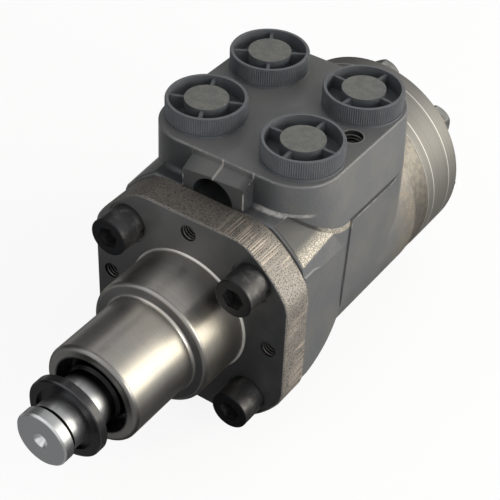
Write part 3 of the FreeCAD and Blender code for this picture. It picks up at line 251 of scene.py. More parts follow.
studio_card("table_card", size=(1.2, 1.3), place=(-0.1, 0.1, floor_level + TABLE_CARD_LIFT), level=0.34)
studio_card("contact_card", size=(0.24, 0.30), place=(-0.02, 0.075, floor_level + CONTACT_CARD_LIFT),
            level=0.06)
studio_card("left_card", size=(1.1, 2.2), place=(-0.62, 0.6, 0.45), level=0.09, turn=(0, 76, 0))
studio_card("upper_left_card", size=(0.7, 2.2), place=(-0.50, 0.9, 1.15), level=0.26, turn=(0, 35, 0))
studio_card("ceiling_card", size=(0.9, 2.2), place=(0.25, 0.9, 1.15), level=0.55)
studio_card("window_card", size=(0.85, 0.90), place=WINDOW_PLACE, level=3.5, turn=(0, 74, 40),
            tint=WINDOW_WARM)
window = soft_lamp("window_lamp", place=WINDOW_PLACE, size=0.50, power=9.0, colour=(1.0, 0.96, 0.86))
window.visible_glossy = False
soft_lamp("side_lamp", place=(1.05, -0.20, 0.40), size=0.5, power=6.0, colour=(1.0, 0.98, 0.95))
soft_lamp("fill_lamp", place=(-0.5, -0.7, 0.9), size=0.8, power=0.8, colour=(0.92, 0.96, 1.0))


# Valve housing. A grey iron casting, phosphated dark and satin, with fine cast
# grain. Its rear end is turned and shows a browner, smoother sheen.
def surface(name, colour, roughness, metallic, bump=None, bump_depth=0.0, coat=0.0):
    """Principled material. Its colour, roughness and metal are constants or functions of the spot."""
    material, start = blank_material(name)
    spot = {"place": start.node("TexCoord", out="Object")}
    split = start.node("SeparateXYZ", None, {0: spot["place"]}).socket.node
    spot["x"], spot["y"], spot["z"] = [Field(start.tree, split.outputs[i]) for i in range(3)]
    parts = {"Base Color": colour, "Roughness": roughness, "Metallic": metallic}
    inputs = {}
    for socket, value in parts.items():
        value = value(spot) if callable(value) else value
        inputs[socket] = (*value, 1) if isinstance(value, tuple) else value
    if coat:
        inputs["Coat Weight"] = coat
        inputs["Coat Roughness"] = 0.3
    if bump:
        relief = {"Strength": 1.0, "Distance": bump_depth, "Height": bump(spot)}
        inputs["Normal"] = start.node("Bump", None, relief)
    shader = start.node("BsdfPrincipled", None, inputs)
    start.node("OutputMaterial", None, {"Surface": shader})
    return material


def give(material, *names):
    """Dresses CAD nodes in one material."""
    for name in names:
        slots = nodes[name].data.materials
        slots.clear()
        slots.append(material)


def grain(spot, scale, detail=3.0, roughness=0.55, stretch=None):
    """Noise from 0 to 1 over the piece, in wavelengths per metre."""
    place = spot["place"]
    if stretch:
        place = place.node("Mapping", None, {"Vector": place, "Scale": stretch})
    inputs = {"Vector": place, "Scale": scale, "Detail": detail, "Roughness": roughness}
    return place.node("TexNoise", None, inputs)


def distance(across, along):
    """Length of two steps at right angles."""
    return (across ** 2 + along ** 2) ** 0.5


def radius_of(spot, x=0.0, z=0.0):
    """Distance from an axis along Y."""
    return distance(spot["x"] - x, spot["z"] - z)


def band(value, limits):
    """1 between the two inner limits, fading to 0 at the outer ones."""
    return value.rise(limits[0], limits[1]) * value.rise(limits[3], limits[2])


def within(value, start, end, soft=0.0001):
    """1 between two values, fading out over a short way on both sides."""
    return band(value, (start - soft, start, end, end + soft))


TURNED_START = 0.1010
TURNED_R = 0.0438
PATCH_X = (0.026, 0.036)
PATCH_Y = (0.084, 0.096)
PATCH_Z = (-0.020, -0.012, 0.034, 0.042)


def turned_zone(spot):
    """The turned rear end of the barrel."""
    on_barrel = radius_of(spot).rise(TURNED_R + 0.0008, TURNED_R)
    return spot["y"].rise(TURNED_START, TURNED_START + 0.0006) * on_barrel


def painted_reflection_patch(spot):
    """Painted reflection: a brown, glittering patch on the right rear of the barrel."""
    place = spot["x"].rise(*PATCH_X) * spot["y"].rise(*PATCH_Y) * band(spot["z"], PATCH_Z)
    return place * (0.35 + grain(spot, 240, 4.0).rise(0.35, 0.65) * 0.65) * (1 - turned_zone(spot))


housing_low, housing_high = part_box("valve_housing")
mounts = {mount["name"]: mount for mount in frame["record"]["mounts"]}
cover_bolts = mounts["cover_bolts"]
HOLE_X = cover_bolts["dims"]["spacing_x_mm"] / 2000
HOLE_Y = cover_bolts["pos_m"][1]
HOLE_R = cover_bolts["dims"]["hole_r_mm"] / 1000
PORT_FACE_Z = housing_high.z
SHELF_Z = -housing_low.z
LEDGE_Z = 0.0358
LEDGE_START = 0.0450
SIDE_WALL_X = 0.0420
BOSS_HALF = 0.0140
BOSS_FRONT = housing_low.y
BOSS_BACK = BOSS_FRONT + 0.0072
BOSS_TOP_Z = 0.0552
BOSS_TOP_SLOPE = 0.227


def hole_distance(spot):
    """Distance from the axis of the nearer tapped hole in the port face."""
    return distance(abs(spot["x"]) - HOLE_X, spot["y"] - HOLE_Y)


def worn_and_highlit_edges(spot):
    """Light edges, partly worn coat and partly painted highlight: block rim, ledge, the boss with its parting
    line, and the mouths of the tapped holes.
    """
    chips = grain(spot, 420, 3.0).rise(0.42, 0.62)
    across = abs(spot["x"])
    y = spot["y"]
    z = spot["z"]
    block_rim = within(z, PORT_FACE_Z - 0.0006, PORT_FACE_Z - 0.0001) * y.rise(BOSS_BACK, BOSS_BACK - 0.001)
    ledge = within(z, LEDGE_Z - 0.0006, LEDGE_Z - 0.0001) * y.rise(LEDGE_START, LEDGE_START + 0.001)
    parting = across.rise(0.0005, 0.0003) * 0.9
    under_top = z - (y - BOSS_FRONT) * BOSS_TOP_SLOPE
    top_edge = under_top.rise(BOSS_TOP_Z - 0.0006, BOSS_TOP_Z - 0.0004)
    corners = y.rise(BOSS_FRONT + 0.0005, BOSS_FRONT + 0.0003).largest(top_edge)
    sides = within(across, BOSS_HALF - 0.0004, BOSS_HALF + 0.0002) * corners * chips
    boss = parting.largest(sides) * y.rise(BOSS_BACK, BOSS_BACK - 0.0005) * z.rise(SHELF_Z, SHELF_Z + 0.001)
    mouth = within(hole_distance(spot), HOLE_R + 0.0001, HOLE_R + 0.0004)
    mouth = mouth * z.rise(PORT_FACE_Z - 0.0004, PORT_FACE_Z - 0.0002) * 0.5
    return (block_rim * chips * 0.4).largest(ledge * 0.8 * chips).largest(boss).largest(mouth)


def tapped_holes(spot):
    """Walls of the two tapped holes in the port face, darkened there as painted shade."""
    wall = hole_distance(spot).rise(HOLE_R + 0.0003, HOLE_R + 0.0001)
    return wall * spot["z"].rise(PORT_FACE_Z - 0.0001, PORT_FACE_Z - 0.0005)


def ledge_shade(spot):
    """Painted shade in the corner above the ledge of each side wall."""
    above = within(spot["z"], LEDGE_Z + 0.0001, LEDGE_Z + 0.0005)
    above = above * spot["y"].rise(LEDGE_START, LEDGE_START + 0.001)
    return above * abs(spot["x"]).rise(SIDE_WALL_X, SIDE_WALL_X + 0.0004)


FRONT_END_Y = 0.030
WALL_SHADE_X = (-0.038, -0.030, -0.018, -0.004)
BOSS_SIDE_SHADE_X = (0.010, 0.0135, 0.017, 0.028)
CORE_R = 0.0093
CORE_END_Y = 0.0325
FILLET_HIGHLIGHT_X = (0.014, 0.018, 0.034, 0.038)


def on_front(spot):
    """1 on the front of the port block, ahead of its round corners."""
    return spot["y"].rise(FRONT_END_Y + 0.006, FRONT_END_Y)


def front_painted_shade(spot):
    """Painted shade on the front: the wall beside the boss, the boss and its core hole."""
    wall = band(spot["x"], WALL_SHADE_X).largest(band(spot["x"], BOSS_SIDE_SHADE_X) * 0.8)
    wall = wall * on_front(spot) * within(spot["z"], SHELF_Z, PORT_FACE_Z - 0.0015, 0.0010)
    boss = spot["y"].rise(BOSS_FRONT + 0.0003, BOSS_FRONT + 0.0001)
    boss = boss * spot["z"].rise(SHELF_Z, SHELF_Z + 0.0005)
    core = radius_of(spot, 0, SHELF_Z).rise(CORE_R + 0.0002, CORE_R)
    core = core * within(spot["y"], BOSS_FRONT + 0.0005, CORE_END_Y, 0.0003)
    return (wall * 0.8).largest(boss * 0.6).largest(core)


def foot_fillet_highlight(spot):
    """Painted highlight on the fillet at the foot of the front wall, right of the boss."""
    foot = within(spot["z"], SHELF_Z + 0.0003, SHELF_Z + 0.0014, 0.0004) * on_front(spot)
    return foot * band(spot["x"], FILLET_HIGHLIGHT_X) * (0.5 + grain(spot, 500, 3.0).rise(0.40, 0.60) * 0.5)


CORNER_R = 0.0526
CORNER_TAPER = 0.059
CORNER_END_Y = 0.0455
CORNER_LOW_Z = 0.020
CORNER_HIGHLIGHT_X = (0.0366, 0.0404)


def shelf_corner(spot):
    """The round upper corners beside the shelf, which get painted shade and, along their outer edge, a
    painted highlight.
    """
    cone = radius_of(spot) - spot["y"] * CORNER_TAPER
    on_cone = within(cone, CORNER_R - 0.0012, CORNER_R + 0.0004)
    height = band(spot["z"], (CORNER_LOW_Z, CORNER_LOW_Z + 0.004, SHELF_Z - 0.0002, SHELF_Z + 0.0001))
    return on_cone * height * spot["y"].rise(CORNER_END_Y + 0.002, CORNER_END_Y)


CAST_GREY = (0.104, 0.108, 0.115)
CAST_WARM = (0.126, 0.126, 0.122)
CAST_SPECKLE = (0.20, 0.19, 0.175)
REFLECTION_BROWN = (0.20, 0.175, 0.145)
REFLECTION_GLITTER = (0.42, 0.37, 0.31)
CORNER_PAINTED_SHADE = (0.035, 0.033, 0.031)
CORNER_HIGHLIGHT_BROWN = (0.20, 0.18, 0.15)
CORNER_HIGHLIGHT_GLITTER = (0.62, 0.57, 0.48)
PORT_FACE_GREY = (0.155, 0.154, 0.153)
FRONT_SHADE = (0.016, 0.018, 0.021)
HOLE_SHADE = (0.015, 0.015, 0.016)
FILLET_HIGHLIGHT = (0.45, 0.44, 0.42)
LEDGE_PAINTED_SHADE = (0.02, 0.02, 0.022)
EDGE_WEAR_AND_HIGHLIGHT = (0.34, 0.33, 0.31)
TURNED_BROWN = (0.15, 0.138, 0.12)
TURNED_LIGHT = (0.215, 0.195, 0.168)


def housing_colour(spot):
    cast = mix_colours(grain(spot, 60).rise(0.35, 0.65), CAST_GREY, CAST_WARM)
    cast = mix_colours(grain(spot, 1500, 2.0).rise(0.58, 0.75) * 0.35, cast, CAST_SPECKLE)
    # The brown glittering patch mixed in below is a painted reflection.
    glitter = grain(spot, 2400, 2.0)
    patch = mix_colours(glitter.rise(0.50, 0.66), REFLECTION_BROWN, REFLECTION_GLITTER)
    cast = mix_colours(painted_reflection_patch(spot), cast, patch)
    corner = shelf_corner(spot)
    # Painted shade on the shelf corners, then a painted highlight along their outer edge.
    cast = mix_colours(corner * 0.8, cast, CORNER_PAINTED_SHADE)
    bright = mix_colours(glitter.rise(0.46, 0.62), CORNER_HIGHLIGHT_BROWN, CORNER_HIGHLIGHT_GLITTER)
    cast = mix_colours(corner * abs(spot["x"]).rise(*CORNER_HIGHLIGHT_X) * 0.9, cast, bright)
    top = spot["z"].rise(PORT_FACE_Z - 0.0002, PORT_FACE_Z - 0.0001)
    cast = mix_colours(top * 0.6, cast, PORT_FACE_GREY)
    # Painted shade on the front of the port block.
    cast = mix_colours(front_painted_shade(spot), cast, FRONT_SHADE)
    cast = mix_colours(tapped_holes(spot), cast, HOLE_SHADE)
    cast = mix_colours(foot_fillet_highlight(spot) * 0.7, cast, FILLET_HIGHLIGHT)
    cast = mix_colours(ledge_shade(spot), cast, LEDGE_PAINTED_SHADE)
    cast = mix_colours(worn_and_highlit_edges(spot), cast, EDGE_WEAR_AND_HIGHLIGHT)
    turned = mix_colours(grain(spot, 500, 3.0).rise(0.4, 0.6), TURNED_BROWN, TURNED_LIGHT)
    return mix_colours(turned_zone(spot), cast, turned)


def housing_roughness(spot):
    return 0.44 + grain(spot, 300) * 0.12 - turned_zone(spot) * 0.02


def housing_metal(spot):
    return 0.25 + (turned_zone(spot) * 0.55).largest(painted_reflection_patch(spot) * 0.4)


def housing_bump(spot):
    return grain(spot, 900, 4.0) * (1 - turned_zone(spot) * 0.7)


give(surface("phosphated_iron", housing_colour, housing_roughness, housing_metal, housing_bump,
             bump_depth=0.00014, coat=0.35), "valve_housing")


# Neck flange. One machined casting: a rough cast rim with grinding marks, a
# smooth dark face, and a bright turned neck in two steps with a rounded mouth.
RIM_START_R = 0.0428
SCREW_SPACING = 0.05834
SPOT_FACE_CLEAR = 0.0100
GROUND_X = (0.008, 0.020)


def rim_zone(spot):
    """The outer edge of the flange, without its front chamfer and its bores."""
    half = SCREW_SPACING / 2
    beside_screws = distance(abs(spot["x"]) - half, abs(spot["z"]) - half)
    outer = radius_of(spot).rise(RIM_START_R, RIM_START_R + 0.0004)
    outer = outer * beside_screws.rise(SPOT_FACE_CLEAR - 0.002, SPOT_FACE_CLEAR)
    return outer * spot["y"].rise(0.0001, 0.0003)


def grinding_marks(spot):
    """Short scratches across the rim, left by a belt in a few places."""
    lines = grain(spot, 2600, 0.0, 0.5, (1, 0.012, 1)).rise(0.50, 0.68)
    patches = grain(spot, 60, 1.0).rise(0.47, 0.58) * spot["x"].rise(*GROUND_X)
    return lines * patches * rim_zone(spot) * 0.75


flange_low, flange_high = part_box("neck_flange")
NECK_BORE_R = 0.0166
NECK_BORE_END_Y = flange_high.y - 0.0010
NECK_MOUTH_Y = flange_low.y
SHOULDER_R = mounts["pilot_shoulder"]["dims"]["r_mm"] / 1000
SHOULDER_Y = -0.0244


def neck_zone(spot):
    """The turned outside of the neck, without the front of its shoulder."""
    radius = radius_of(spot)
    barrel = spot["y"].rise(-0.0004, -0.0012) * radius.rise(NECK_BORE_R - 0.0002, NECK_BORE_R + 0.0001)
    inside = radius.rise(SHOULDER_R - 0.0010, SHOULDER_R - 0.0018)
    return barrel * (1 - inside * abs(spot["y"] - SHOULDER_Y).rise(0.0004, 0.0001))


def mouth_zone(spot):
    return spot["y"].rise(NECK_MOUTH_Y + 0.0021, NECK_MOUTH_Y + 0.0015)


# Mask of the neck's bore, which is painted black as shade and has no metal.
def bore_zone(spot):
    ahead = spot["y"].rise(NECK_BORE_END_Y + 0.0010, NECK_BORE_END_Y)
    return radius_of(spot).rise(NECK_BORE_R + 0.0006, NECK_BORE_R + 0.0003) * ahead


def root_highlight(spot):
    """Painted highlight: a bright line where the shoulder meets the face."""
    ring = within(radius_of(spot), SHOULDER_R - 0.0001, SHOULDER_R + 0.0007)
    return ring * within(spot["y"], -0.0016, 0.0003)


def turning_lines(spot, fine=5200):
    """Fine rings left by the lathe, alike all the way round and changing along the axis."""
    rings = spot["place"].node("CombineXYZ", None, {"Y": spot["y"], "X": radius_of(spot) * 0.6})
    return rings.node("TexNoise", None, {"Vector": rings, "Scale": fine, "Detail": 2.0})


bracket_bolts = mounts["bracket_bolts"]["dims"]
BRACKET_R = bracket_bolts["pcd_mm"] / 2000
BRACKET_HOLE_R = bracket_bolts["hole_r_mm"] / 1000
BRACKET_HOLES = {"right": (BRACKET_R, 0), "upper": (0, BRACKET_R),
                 "left": (-BRACKET_R, 0), "lower": (0, -BRACKET_R)}
FACE_GREY = (0.115, 0.115, 0.117)
FACE_PAINTED_SHADE = (0.072, 0.074, 0.077)
FACE_PAINTED_REFLECTION = (0.185, 0.185, 0.184)
FACE_SMUDGE = (0.13, 0.13, 0.13)
FACE_SHADE_X = (-0.020, 0.030)
FACE_REFLECTION_X = (0.022, -0.018)
FACE_REFLECTION_Z = (-0.010, 0.034)
BRACKET_HOLE_SHADE = (0.025, 0.025, 0.025)
ROOT_HIGHLIGHT_COLOUR = (0.62, 0.60, 0.56)


def face_colour(spot, smudge):
    # Painted shade darkens the face towards the right; a painted reflection lightens its upper left.
    face = mix_colours(spot["x"].rise(*FACE_SHADE_X), FACE_GREY, FACE_PAINTED_SHADE)
    face = mix_colours(spot["z"].rise(*FACE_REFLECTION_Z) * spot["x"].rise(*FACE_REFLECTION_X), face, FACE_PAINTED_REFLECTION)
    face = mix_colours(smudge.rise(0.4, 0.7) * 0.3, face, FACE_SMUDGE)
    # Painted shade inside the four bracket holes.
    for x, z in BRACKET_HOLES.values():
        hole = radius_of(spot, x, z).rise(BRACKET_HOLE_R + 0.0002, BRACKET_HOLE_R)
        face = mix_colours(hole, face, BRACKET_HOLE_SHADE)
    return mix_colours(root_highlight(spot), face, ROOT_HIGHLIGHT_COLOUR)


RIM_GREY = (0.205, 0.187, 0.165)
RIM_LIT_SIDE = (0.34, 0.315, 0.285)
RIM_PITS = (0.055, 0.051, 0.047)
RIM_SPARKS = (0.5, 0.47, 0.43)
RIM_GROUND = (0.62, 0.53, 0.45)
RIM_LIT_X = (0.015, 0.045)


def rim_colour(spot):
    # Painted light: the rim grows lighter towards the right, where the lamps stand.
    rim = mix_colours(spot["x"].rise(*RIM_LIT_X), RIM_GREY, RIM_LIT_SIDE)
    rim = mix_colours(grain(spot, 2100, 4.0, 0.6).rise(0.36, 0.53), RIM_PITS, rim)
    rim = mix_colours(grain(spot, 3000, 1.0).rise(0.68, 0.76) * 0.6, rim, RIM_SPARKS)
    return mix_colours(grinding_marks(spot), rim, RIM_GROUND)


NECK_DARK = (0.42, 0.402, 0.376)
NECK_STEEL = (0.50, 0.48, 0.45)
NECK_SMUDGE = (0.34, 0.31, 0.27)
NECK_WARM = (0.58, 0.51, 0.40)
NECK_SPARKS = (0.75, 0.70, 0.60)
MOUTH_GREY = (0.17, 0.17, 0.165)
SHOULDER_GREY = (0.16, 0.16, 0.16)
BORE_SHADE = (0.012, 0.012, 0.013)


def neck_colour(spot, smudge):
    neck = mix_colours(turning_lines(spot).rise(0.3, 0.7), NECK_DARK, NECK_STEEL)
    neck = mix_colours(smudge.rise(0.5, 0.8) * 0.5, neck, NECK_SMUDGE)
    neck = mix_colours(grain(spot, 38, 2.0).rise(0.45, 0.62) * 0.30, neck, NECK_WARM)
    neck = mix_colours(grain(spot, 1700, 2.0).rise(0.62, 0.70) * 0.25, neck, NECK_SPARKS)
    neck = mix_colours(mouth_zone(spot) * 0.75, neck, MOUTH_GREY)
    return mix_colours(within(spot["y"], SHOULDER_Y, SHOULDER_Y + 0.0014, 0.0004) * 0.5, neck, SHOULDER_GREY)


def flange_colour(spot):
    smudge = grain(spot, 90)
    dressed = mix_colours(rim_zone(spot), face_colour(spot, smudge), rim_colour(spot))
    dressed = mix_colours(neck_zone(spot), dressed, neck_colour(spot, smudge))
    return mix_colours(bore_zone(spot), dressed, BORE_SHADE)


def flange_roughness(spot):
    neck = 0.24 + turning_lines(spot) * 0.10 + grain(spot, 120) * 0.08
    rest = 0.36 + rim_zone(spot) * 0.16
    return rest + neck_zone(spot) * (neck - rest)


def flange_metal(spot):
    return (0.7 + rim_zone(spot) * 0.05).largest(neck_zone(spot)) * (1 - bore_zone(spot))


def flange_bump(spot):
    cast = grain(spot, 1800, 4.0, 0.6) * 0.6 * rim_zone(spot) * (1 - grinding_marks(spot) * 0.8)
    return cast + turning_lines(spot) * 0.03 * neck_zone(spot) + grain(spot, 700) * 0.05


give(surface("turned_neck_casting", flange_colour, flange_roughness, flange_metal, flange_bump,
             bump_depth=0.0004), "neck_flange")


# Cap screws and their spring washers, black oxide steel. The end faces are flat
# black, the round sides are worn a little grey where a tool has rubbed them.
HEAD_FRONT_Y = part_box("flange_screws")[0].y
OXIDE_BLACK = (0.020, 0.021, 0.023)
OXIDE_SIDE = (0.035, 0.035, 0.038)
OXIDE_WORN = (0.17, 0.165, 0.16)


def oxide_colour(spot):
    worn = 0.25 + grain(spot, 260).rise(0.45, 0.75) * 0.6
    face = spot["y"].rise(HEAD_FRONT_Y + 0.0007, HEAD_FRONT_Y + 0.0003)
    return mix_colours(face, mix_colours(worn, OXIDE_SIDE, OXIDE_WORN), OXIDE_BLACK)


give(surface("black_oxide_steel", oxide_colour, lambda spot: 0.34 + grain(spot, 500) * 0.15, 0.85),
     "flange_screws", "flange_lock_washers")


# Collar on the shaft and retaining ring in the neck: blacked spring steel, the
# collar polished on its round side.
COLLAR_SIDE_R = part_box("shaft_collar")[1].x - 0.0006
COLLAR_BLACK = (0.014, 0.014, 0.016)
COLLAR_POLISHED = (0.075, 0.075, 0.078)


def collar_colour(spot):
    side = radius_of(spot).rise(COLLAR_SIDE_R, COLLAR_SIDE_R + 0.0003)
    return mix_colours(side * (0.6 + grain(spot, 300) * 0.4), COLLAR_BLACK, COLLAR_POLISHED)


give(surface("blacked_collar", collar_colour, lambda spot: 0.19 + grain(spot, 500) * 0.12, 0.85),
     "neck_circlip", "shaft_collar")


# Input shaft and the ground parts inside: bright ground steel with fine rings
# round the axis.
SHAFT_END_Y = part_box("input_shaft")[0].y
SHAFT_GROOVE = (-0.0814, -0.0796)
DEEP_SHAFT_Y = (-0.0660, -0.0600)
GROUND_STEEL = (0.58, 0.585, 0.59)
GROUND_BRIGHT = (0.68, 0.685, 0.69)
SHAFT_END_GREY = (0.44, 0.445, 0.455)
SHAFT_SHADE_TONE = (0.02, 0.02, 0.02)


def ground_colour(spot):
    steel = mix_colours(turning_lines(spot).rise(0.3, 0.7), GROUND_STEEL, GROUND_BRIGHT)
    steel = mix_colours(spot["y"].rise(SHAFT_END_Y + 0.0003, SHAFT_END_Y + 0.0001), steel, SHAFT_END_GREY)
    # Painted shade in the groove and on the shaft deeper in the bore.
    shaft_shade_mask = within(spot["y"], *SHAFT_GROOVE).largest(spot["y"].rise(*DEEP_SHAFT_Y))
    return mix_colours(shaft_shade_mask, steel, SHAFT_SHADE_TONE)


give(surface("ground_steel", ground_colour, lambda spot: 0.26 + grain(spot, 160) * 0.12, 1.0),
     "input_shaft", "neck_bearing_shell", "neck_bearing_needles", "neck_bearing_cage", "thrust_race_front",
     "thrust_race_rear", "thrust_needles", "thrust_cage", "control_sleeve", "control_spool", "cross_pin",
     "spring_ring", "cardan_shaft", "cardan_spacer", "gear_star", "check_bush", "check_ball")


# Rear stack. Distributor plate, gear ring and end cover are turned together,
# so they share a brown-grey sheen; a thin painted highlight lines each joint.
JOINT_Y = [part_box(name)[0].y for name in ("distributor_plate", "gear_ring", "end_cover")]
STACK_DARK = (0.172, 0.167, 0.158)
STACK_LIGHT = (0.232, 0.224, 0.212)
JOINT_HIGHLIGHT = (0.75, 0.73, 0.70)


def stack_colour(spot):
    metal = mix_colours(turning_lines(spot, 3000).rise(0.3, 0.7), STACK_DARK, STACK_LIGHT)
    for station in JOINT_Y:
        metal = mix_colours(within(spot["y"], station - 0.0002, station + 0.0001) * 0.8, metal, JOINT_HIGHLIGHT)
    return metal


give(surface("turned_stack_steel", stack_colour, lambda spot: 0.47 + turning_lines(spot) * 0.12, 0.8),
     "distributor_plate", "gear_ring", "end_cover")


# Cover screws in dull zinc, on soft copper washers. One of them carries the pin
# that holds the check valve ball, and looks like the others from outside.
ZINC_DARK = (0.17, 0.17, 0.17)
ZINC_LIGHT = (0.27, 0.27, 0.265)
COPPER_DARK = (0.26, 0.17, 0.11)
COPPER_LIGHT = (0.38, 0.26, 0.18)


def zinc_colour(spot):
    return mix_colours(grain(spot, 350).rise(0.35, 0.65), ZINC_DARK, ZINC_LIGHT)


def copper_colour(spot):
    return mix_colours(grain(spot, 350).rise(0.35, 0.65), COPPER_DARK, COPPER_LIGHT)


give(surface("dull_zinc", zinc_colour, lambda spot: 0.38 + grain(spot, 600) * 0.15, 0.9),
     "cover_screws", "pin_screw")
give(surface("washer_copper", copper_colour, lambda spot: 0.40 + grain(spot, 600) * 0.12, 0.95),
     "cover_washers")


# Seals. The O-rings and the lip seal are moulded in plain black nitrile and
# pressed into their grooves.
NITRILE_BLACK = (0.02, 0.02, 0.02)
give(surface("nitrile_rubber", NITRILE_BLACK, lambda spot: 0.5 + grain(spot, 400) * 0.1, 0.0),
     "flange_o_ring", "neck_lip_seal", "spool_seal_ring", "housing_face_o_ring", "ring_front_o_ring",
     "ring_rear_o_ring")


# Port plugs. Moulded dark grey plastic, each with a fine ribbed grip round its
# wall. The ribs are one zigzag sleeve, pushed over the plain wall of the plug.
PLUG_CORNERS = ("front_right", "front_left", "rear_right", "rear_left")
PLUG_PLACES = {corner: mounts["port_" + corner]["pos_m"][:2] for corner in PLUG_CORNERS}
PLUG_X, FRONT_ROW_Y = PLUG_PLACES["front_right"]
REAR_ROW_Y = PLUG_PLACES["rear_right"][1]
RIM_TOP_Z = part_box("port_plug_front_right")[1].z
HUB_TOP_Z = RIM_TOP_Z - 0.0004
HUB_R = 0.00875
SHELL_DARK = (0.078, 0.083, 0.092)
SHELL_LIGHT = (0.096, 0.100, 0.108)
PLUG_RIM_HIGHLIGHT = (0.19, 0.198, 0.208)
HUB_DARK = (0.112, 0.115, 0.108)
HUB_LIGHT = (0.150, 0.150, 0.134)
HUB_SCUFF = (0.34, 0.33, 0.30)


def plastic_colour(spot):
    shell = mix_colours(grain(spot, 200).rise(0.3, 0.7), SHELL_DARK, SHELL_LIGHT)
    # Painted highlight on the top of each plug's rim.
    rim = spot["z"].rise(RIM_TOP_Z - 0.0002, RIM_TOP_Z - 0.0001) * 0.25
    shell = mix_colours(rim, shell, PLUG_RIM_HIGHLIGHT)
    matt = mix_colours(grain(spot, 420, 4.0, 0.6).rise(0.38, 0.62), HUB_DARK, HUB_LIGHT)
    matt = mix_colours(grain(spot, 900, 3.0).rise(0.64, 0.72) * 0.8, matt, HUB_SCUFF)
    along = abs(spot["y"] - FRONT_ROW_Y).smallest(abs(spot["y"] - REAR_ROW_Y))
    hub = distance(abs(spot["x"]) - PLUG_X, along).rise(HUB_R + 0.0001, HUB_R - 0.0002)
    return mix_colours(hub * spot["z"].rise(HUB_TOP_Z - 0.0003, HUB_TOP_Z - 0.0001), shell, matt)


def plastic_bump(spot):
    return grain(spot, 1500)


plug_plastic = surface("moulded_plastic", plastic_colour, lambda spot: 0.32 + grain(spot, 800) * 0.1, 0.0,
                       plastic_bump, bump_depth=0.00003, coat=0.25)
RIBS = 112
RIB_HEIGHT = 0.00036
WALL_R = 0.01585
GRIP_BOTTOM = PORT_FACE_Z + 0.0014
GRIP_TOP = HUB_TOP_Z
GRIP_WALL = 0.0003


def select_only(piece):
    """Makes one piece the only selected and the active one."""
    bpy.ops.object.select_all(action="DESELECT")
    piece.select_set(True)
    bpy.context.view_layer.objects.active = piece


def finish_piece(piece, name, body, material):
    """Names a modelled piece, puts its place into its mesh, and lets it ride on its body."""
    piece.name = name
    select_only(piece)
    bpy.ops.object.transform_apply(location=True, rotation=True, scale=True)
    piece.data.materials.clear()
    piece.data.materials.append(material)
    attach(piece, body)


def copy_of(piece):
    """A linked copy with a mesh of its own."""
    twin = piece.copy()
    twin.data = piece.data.copy()
    bpy.context.collection.objects.link(twin)
    return twin


bpy.ops.object.select_all(action="DESELECT")
bpy.ops.mesh.primitive_cylinder_add(vertices=2 * RIBS, radius=WALL_R, depth=GRIP_TOP - GRIP_BOTTOM,
                                    end_fill_type="NOTHING")
grip = bpy.context.object
bpy.ops.object.mode_set(mode="EDIT")
bpy.ops.mesh.select_all(action="DESELECT")
bpy.ops.object.mode_set(mode="OBJECT")
for vertex in grip.data.vertices:
    turn = math.atan2(vertex.co.y, vertex.co.x) / math.radians(360 / RIBS)
    vertex.select = abs(turn - round(turn)) < 0.1
bpy.ops.object.mode_set(mode="EDIT")
bpy.ops.mesh.select_mode(type="VERT")
widen = (WALL_R + RIB_HEIGHT) / WALL_R
bpy.ops.transform.resize(value=(widen, widen, 1), center_override=(0, 0, 0))
bpy.ops.object.mode_set(mode="OBJECT")
wall = grip.modifiers.new("wall", "SOLIDIFY")
wall.thickness = GRIP_WALL
wall.offset = -1
bpy.ops.object.modifier_apply(modifier="wall")
for corner, (x, y) in PLUG_PLACES.items():
    give(plug_plastic, "port_plug_" + corner)
    ribs = copy_of(grip)
    ribs.location = (x, y, (GRIP_TOP + GRIP_BOTTOM) / 2)
    finish_piece(ribs, "grip_ribs_" + corner, "plug_" + corner, plug_plastic)
bpy.data.objects.remove(grip)


# Threads. A helical ridge of triangular section stands in each tapped hole: the
# four bracket holes, the two holes of the port face and the four ports.
BRACKET_PITCH = 0.00125
BRACKET_THREAD_Y = 0.0008
HOLE_PITCH = 0.00150
HOLE_THREAD_DEPTH = 0.0132
PORT_THREAD_R = mounts["port_front_right"]["dims"]["r_mm"] / 1000
PORT_PITCH = 0.00180
PORT_THREAD_DEPTH = 0.0160
RIDGE_SHARE = 0.34
THREAD_DARK = (0.05, 0.05, 0.05)
THREAD_LIGHT = (0.14, 0.135, 0.13)
thread_steel = surface("cut_thread", lambda spot: mix_colours(grain(spot, 900), THREAD_DARK, THREAD_LIGHT),
                       0.35, 0.9)


def thread_ridge(radius, pitch, turns, steps):
    """Helical ridge round Z that starts at the origin's height, with steps in each turn."""
    bpy.ops.object.select_all(action="DESELECT")
    bpy.ops.mesh.primitive_circle_add(vertices=3, radius=RIDGE_SHARE * pitch, location=(radius, 0, 0),
                                      rotation=(math.radians(90), 0, 0))
    ridge = bpy.context.object
    bpy.ops.object.transform_apply(location=True, rotation=True, scale=True)
    bpy.ops.object.mode_set(mode="EDIT")
    bpy.ops.mesh.select_all(action="SELECT")
    bpy.ops.transform.rotate(value=math.radians(90), orient_axis="Y", center_override=(radius, 0, 0))
    bpy.ops.object.mode_set(mode="OBJECT")
    climb = ridge.modifiers.new("climb", "SCREW")
    climb.angle = math.radians(360) * turns
    climb.screw_offset = pitch * turns
    climb.steps = climb.render_steps = steps * turns
    climb.use_smooth_shade = False
    bpy.ops.object.modifier_apply(modifier="climb")
    bpy.ops.object.mode_set(mode="EDIT")
    bpy.ops.mesh.select_all(action="SELECT")
    bpy.ops.mesh.fill_holes(sides=3)
    bpy.ops.mesh.select_all(action="SELECT")
    bpy.ops.mesh.normals_make_consistent(inside=False)
    bpy.ops.object.mode_set(mode="OBJECT")
    return ridge


ridge = thread_ridge(BRACKET_HOLE_R, BRACKET_PITCH, turns=9, steps=20)
for name, (x, z) in BRACKET_HOLES.items():
    thread = copy_of(ridge)
    thread.rotation_euler = (math.radians(-90), 0, 0)
    thread.location = (x, BRACKET_THREAD_Y, z)
    finish_piece(thread, "bracket_thread_" + name, "case", thread_steel)
bpy.data.objects.remove(ridge)

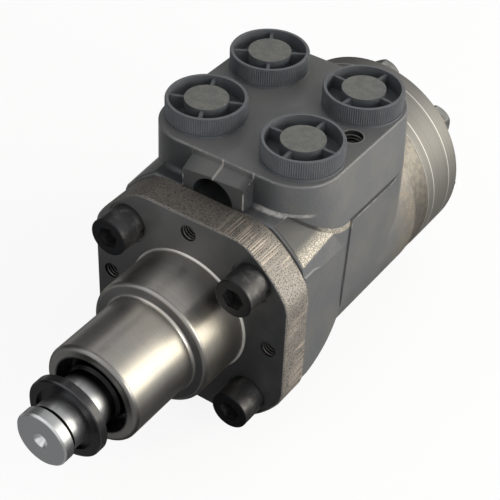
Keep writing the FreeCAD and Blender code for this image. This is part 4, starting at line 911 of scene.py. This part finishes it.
ridge = thread_ridge(HOLE_R, HOLE_PITCH, turns=8, steps=24)
for name, side in (("right", 1), ("left", -1)):
    thread = copy_of(ridge)
    thread.location = (side * HOLE_X, HOLE_Y, PORT_FACE_Z - HOLE_THREAD_DEPTH)
    finish_piece(thread, "face_thread_" + name, "case", thread_steel)
bpy.data.objects.remove(ridge)

ridge = thread_ridge(PORT_THREAD_R, PORT_PITCH, turns=6, steps=32)
for corner, (x, y) in PLUG_PLACES.items():
    thread = copy_of(ridge)
    thread.location = (x, y, PORT_FACE_Z - PORT_THREAD_DEPTH)
    finish_piece(thread, "port_thread_" + corner, "case", thread_steel)
bpy.data.objects.remove(ridge)


# Leaf springs. Two packs of bowed leaves punched from blued spring strip. Their
# middle turns with the spool and their ends with the sleeve, so each half is its
# own piece, cut across at a row of steps where it would bend between the two.
BEND_START = 0.0100
BEND_STEP = 0.0010
BEND_STEPS = 8
WELD = 0.000001
BLUED_DARK = (0.07, 0.075, 0.09)
BLUED_LIGHT = (0.13, 0.135, 0.15)
blued = surface("blued_spring_steel", lambda spot: mix_colours(grain(spot, 400), BLUED_DARK, BLUED_LIGHT),
                lambda spot: 0.30 + grain(spot, 600) * 0.10, 1.0)
for name, side in (("right", 1), ("left", -1)):
    half = bpy.data.objects.new("leaf_springs_" + name, nodes["leaf_springs"].data.copy())
    bpy.context.collection.objects.link(half)
    half.data.materials.clear()
    half.data.materials.append(blued)
    select_only(half)
    bpy.ops.object.mode_set(mode="EDIT")
    bpy.ops.mesh.select_all(action="SELECT")
    bpy.ops.mesh.remove_doubles(threshold=WELD)
    bpy.ops.mesh.bisect(plane_co=(0, 0, 0), plane_no=(side, 0, 0), use_fill=True, clear_inner=True)
    for step in range(BEND_STEPS + 1):
        bpy.ops.mesh.select_all(action="SELECT")
        bpy.ops.mesh.bisect(plane_co=(side * (BEND_START + step * BEND_STEP), 0, 0), plane_no=(side, 0, 0))
    bpy.ops.mesh.select_all(action="SELECT")
    bpy.ops.mesh.normals_make_consistent(inside=False)
    bpy.ops.object.mode_set(mode="OBJECT")
    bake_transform(half)
    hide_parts("leaf_springs")
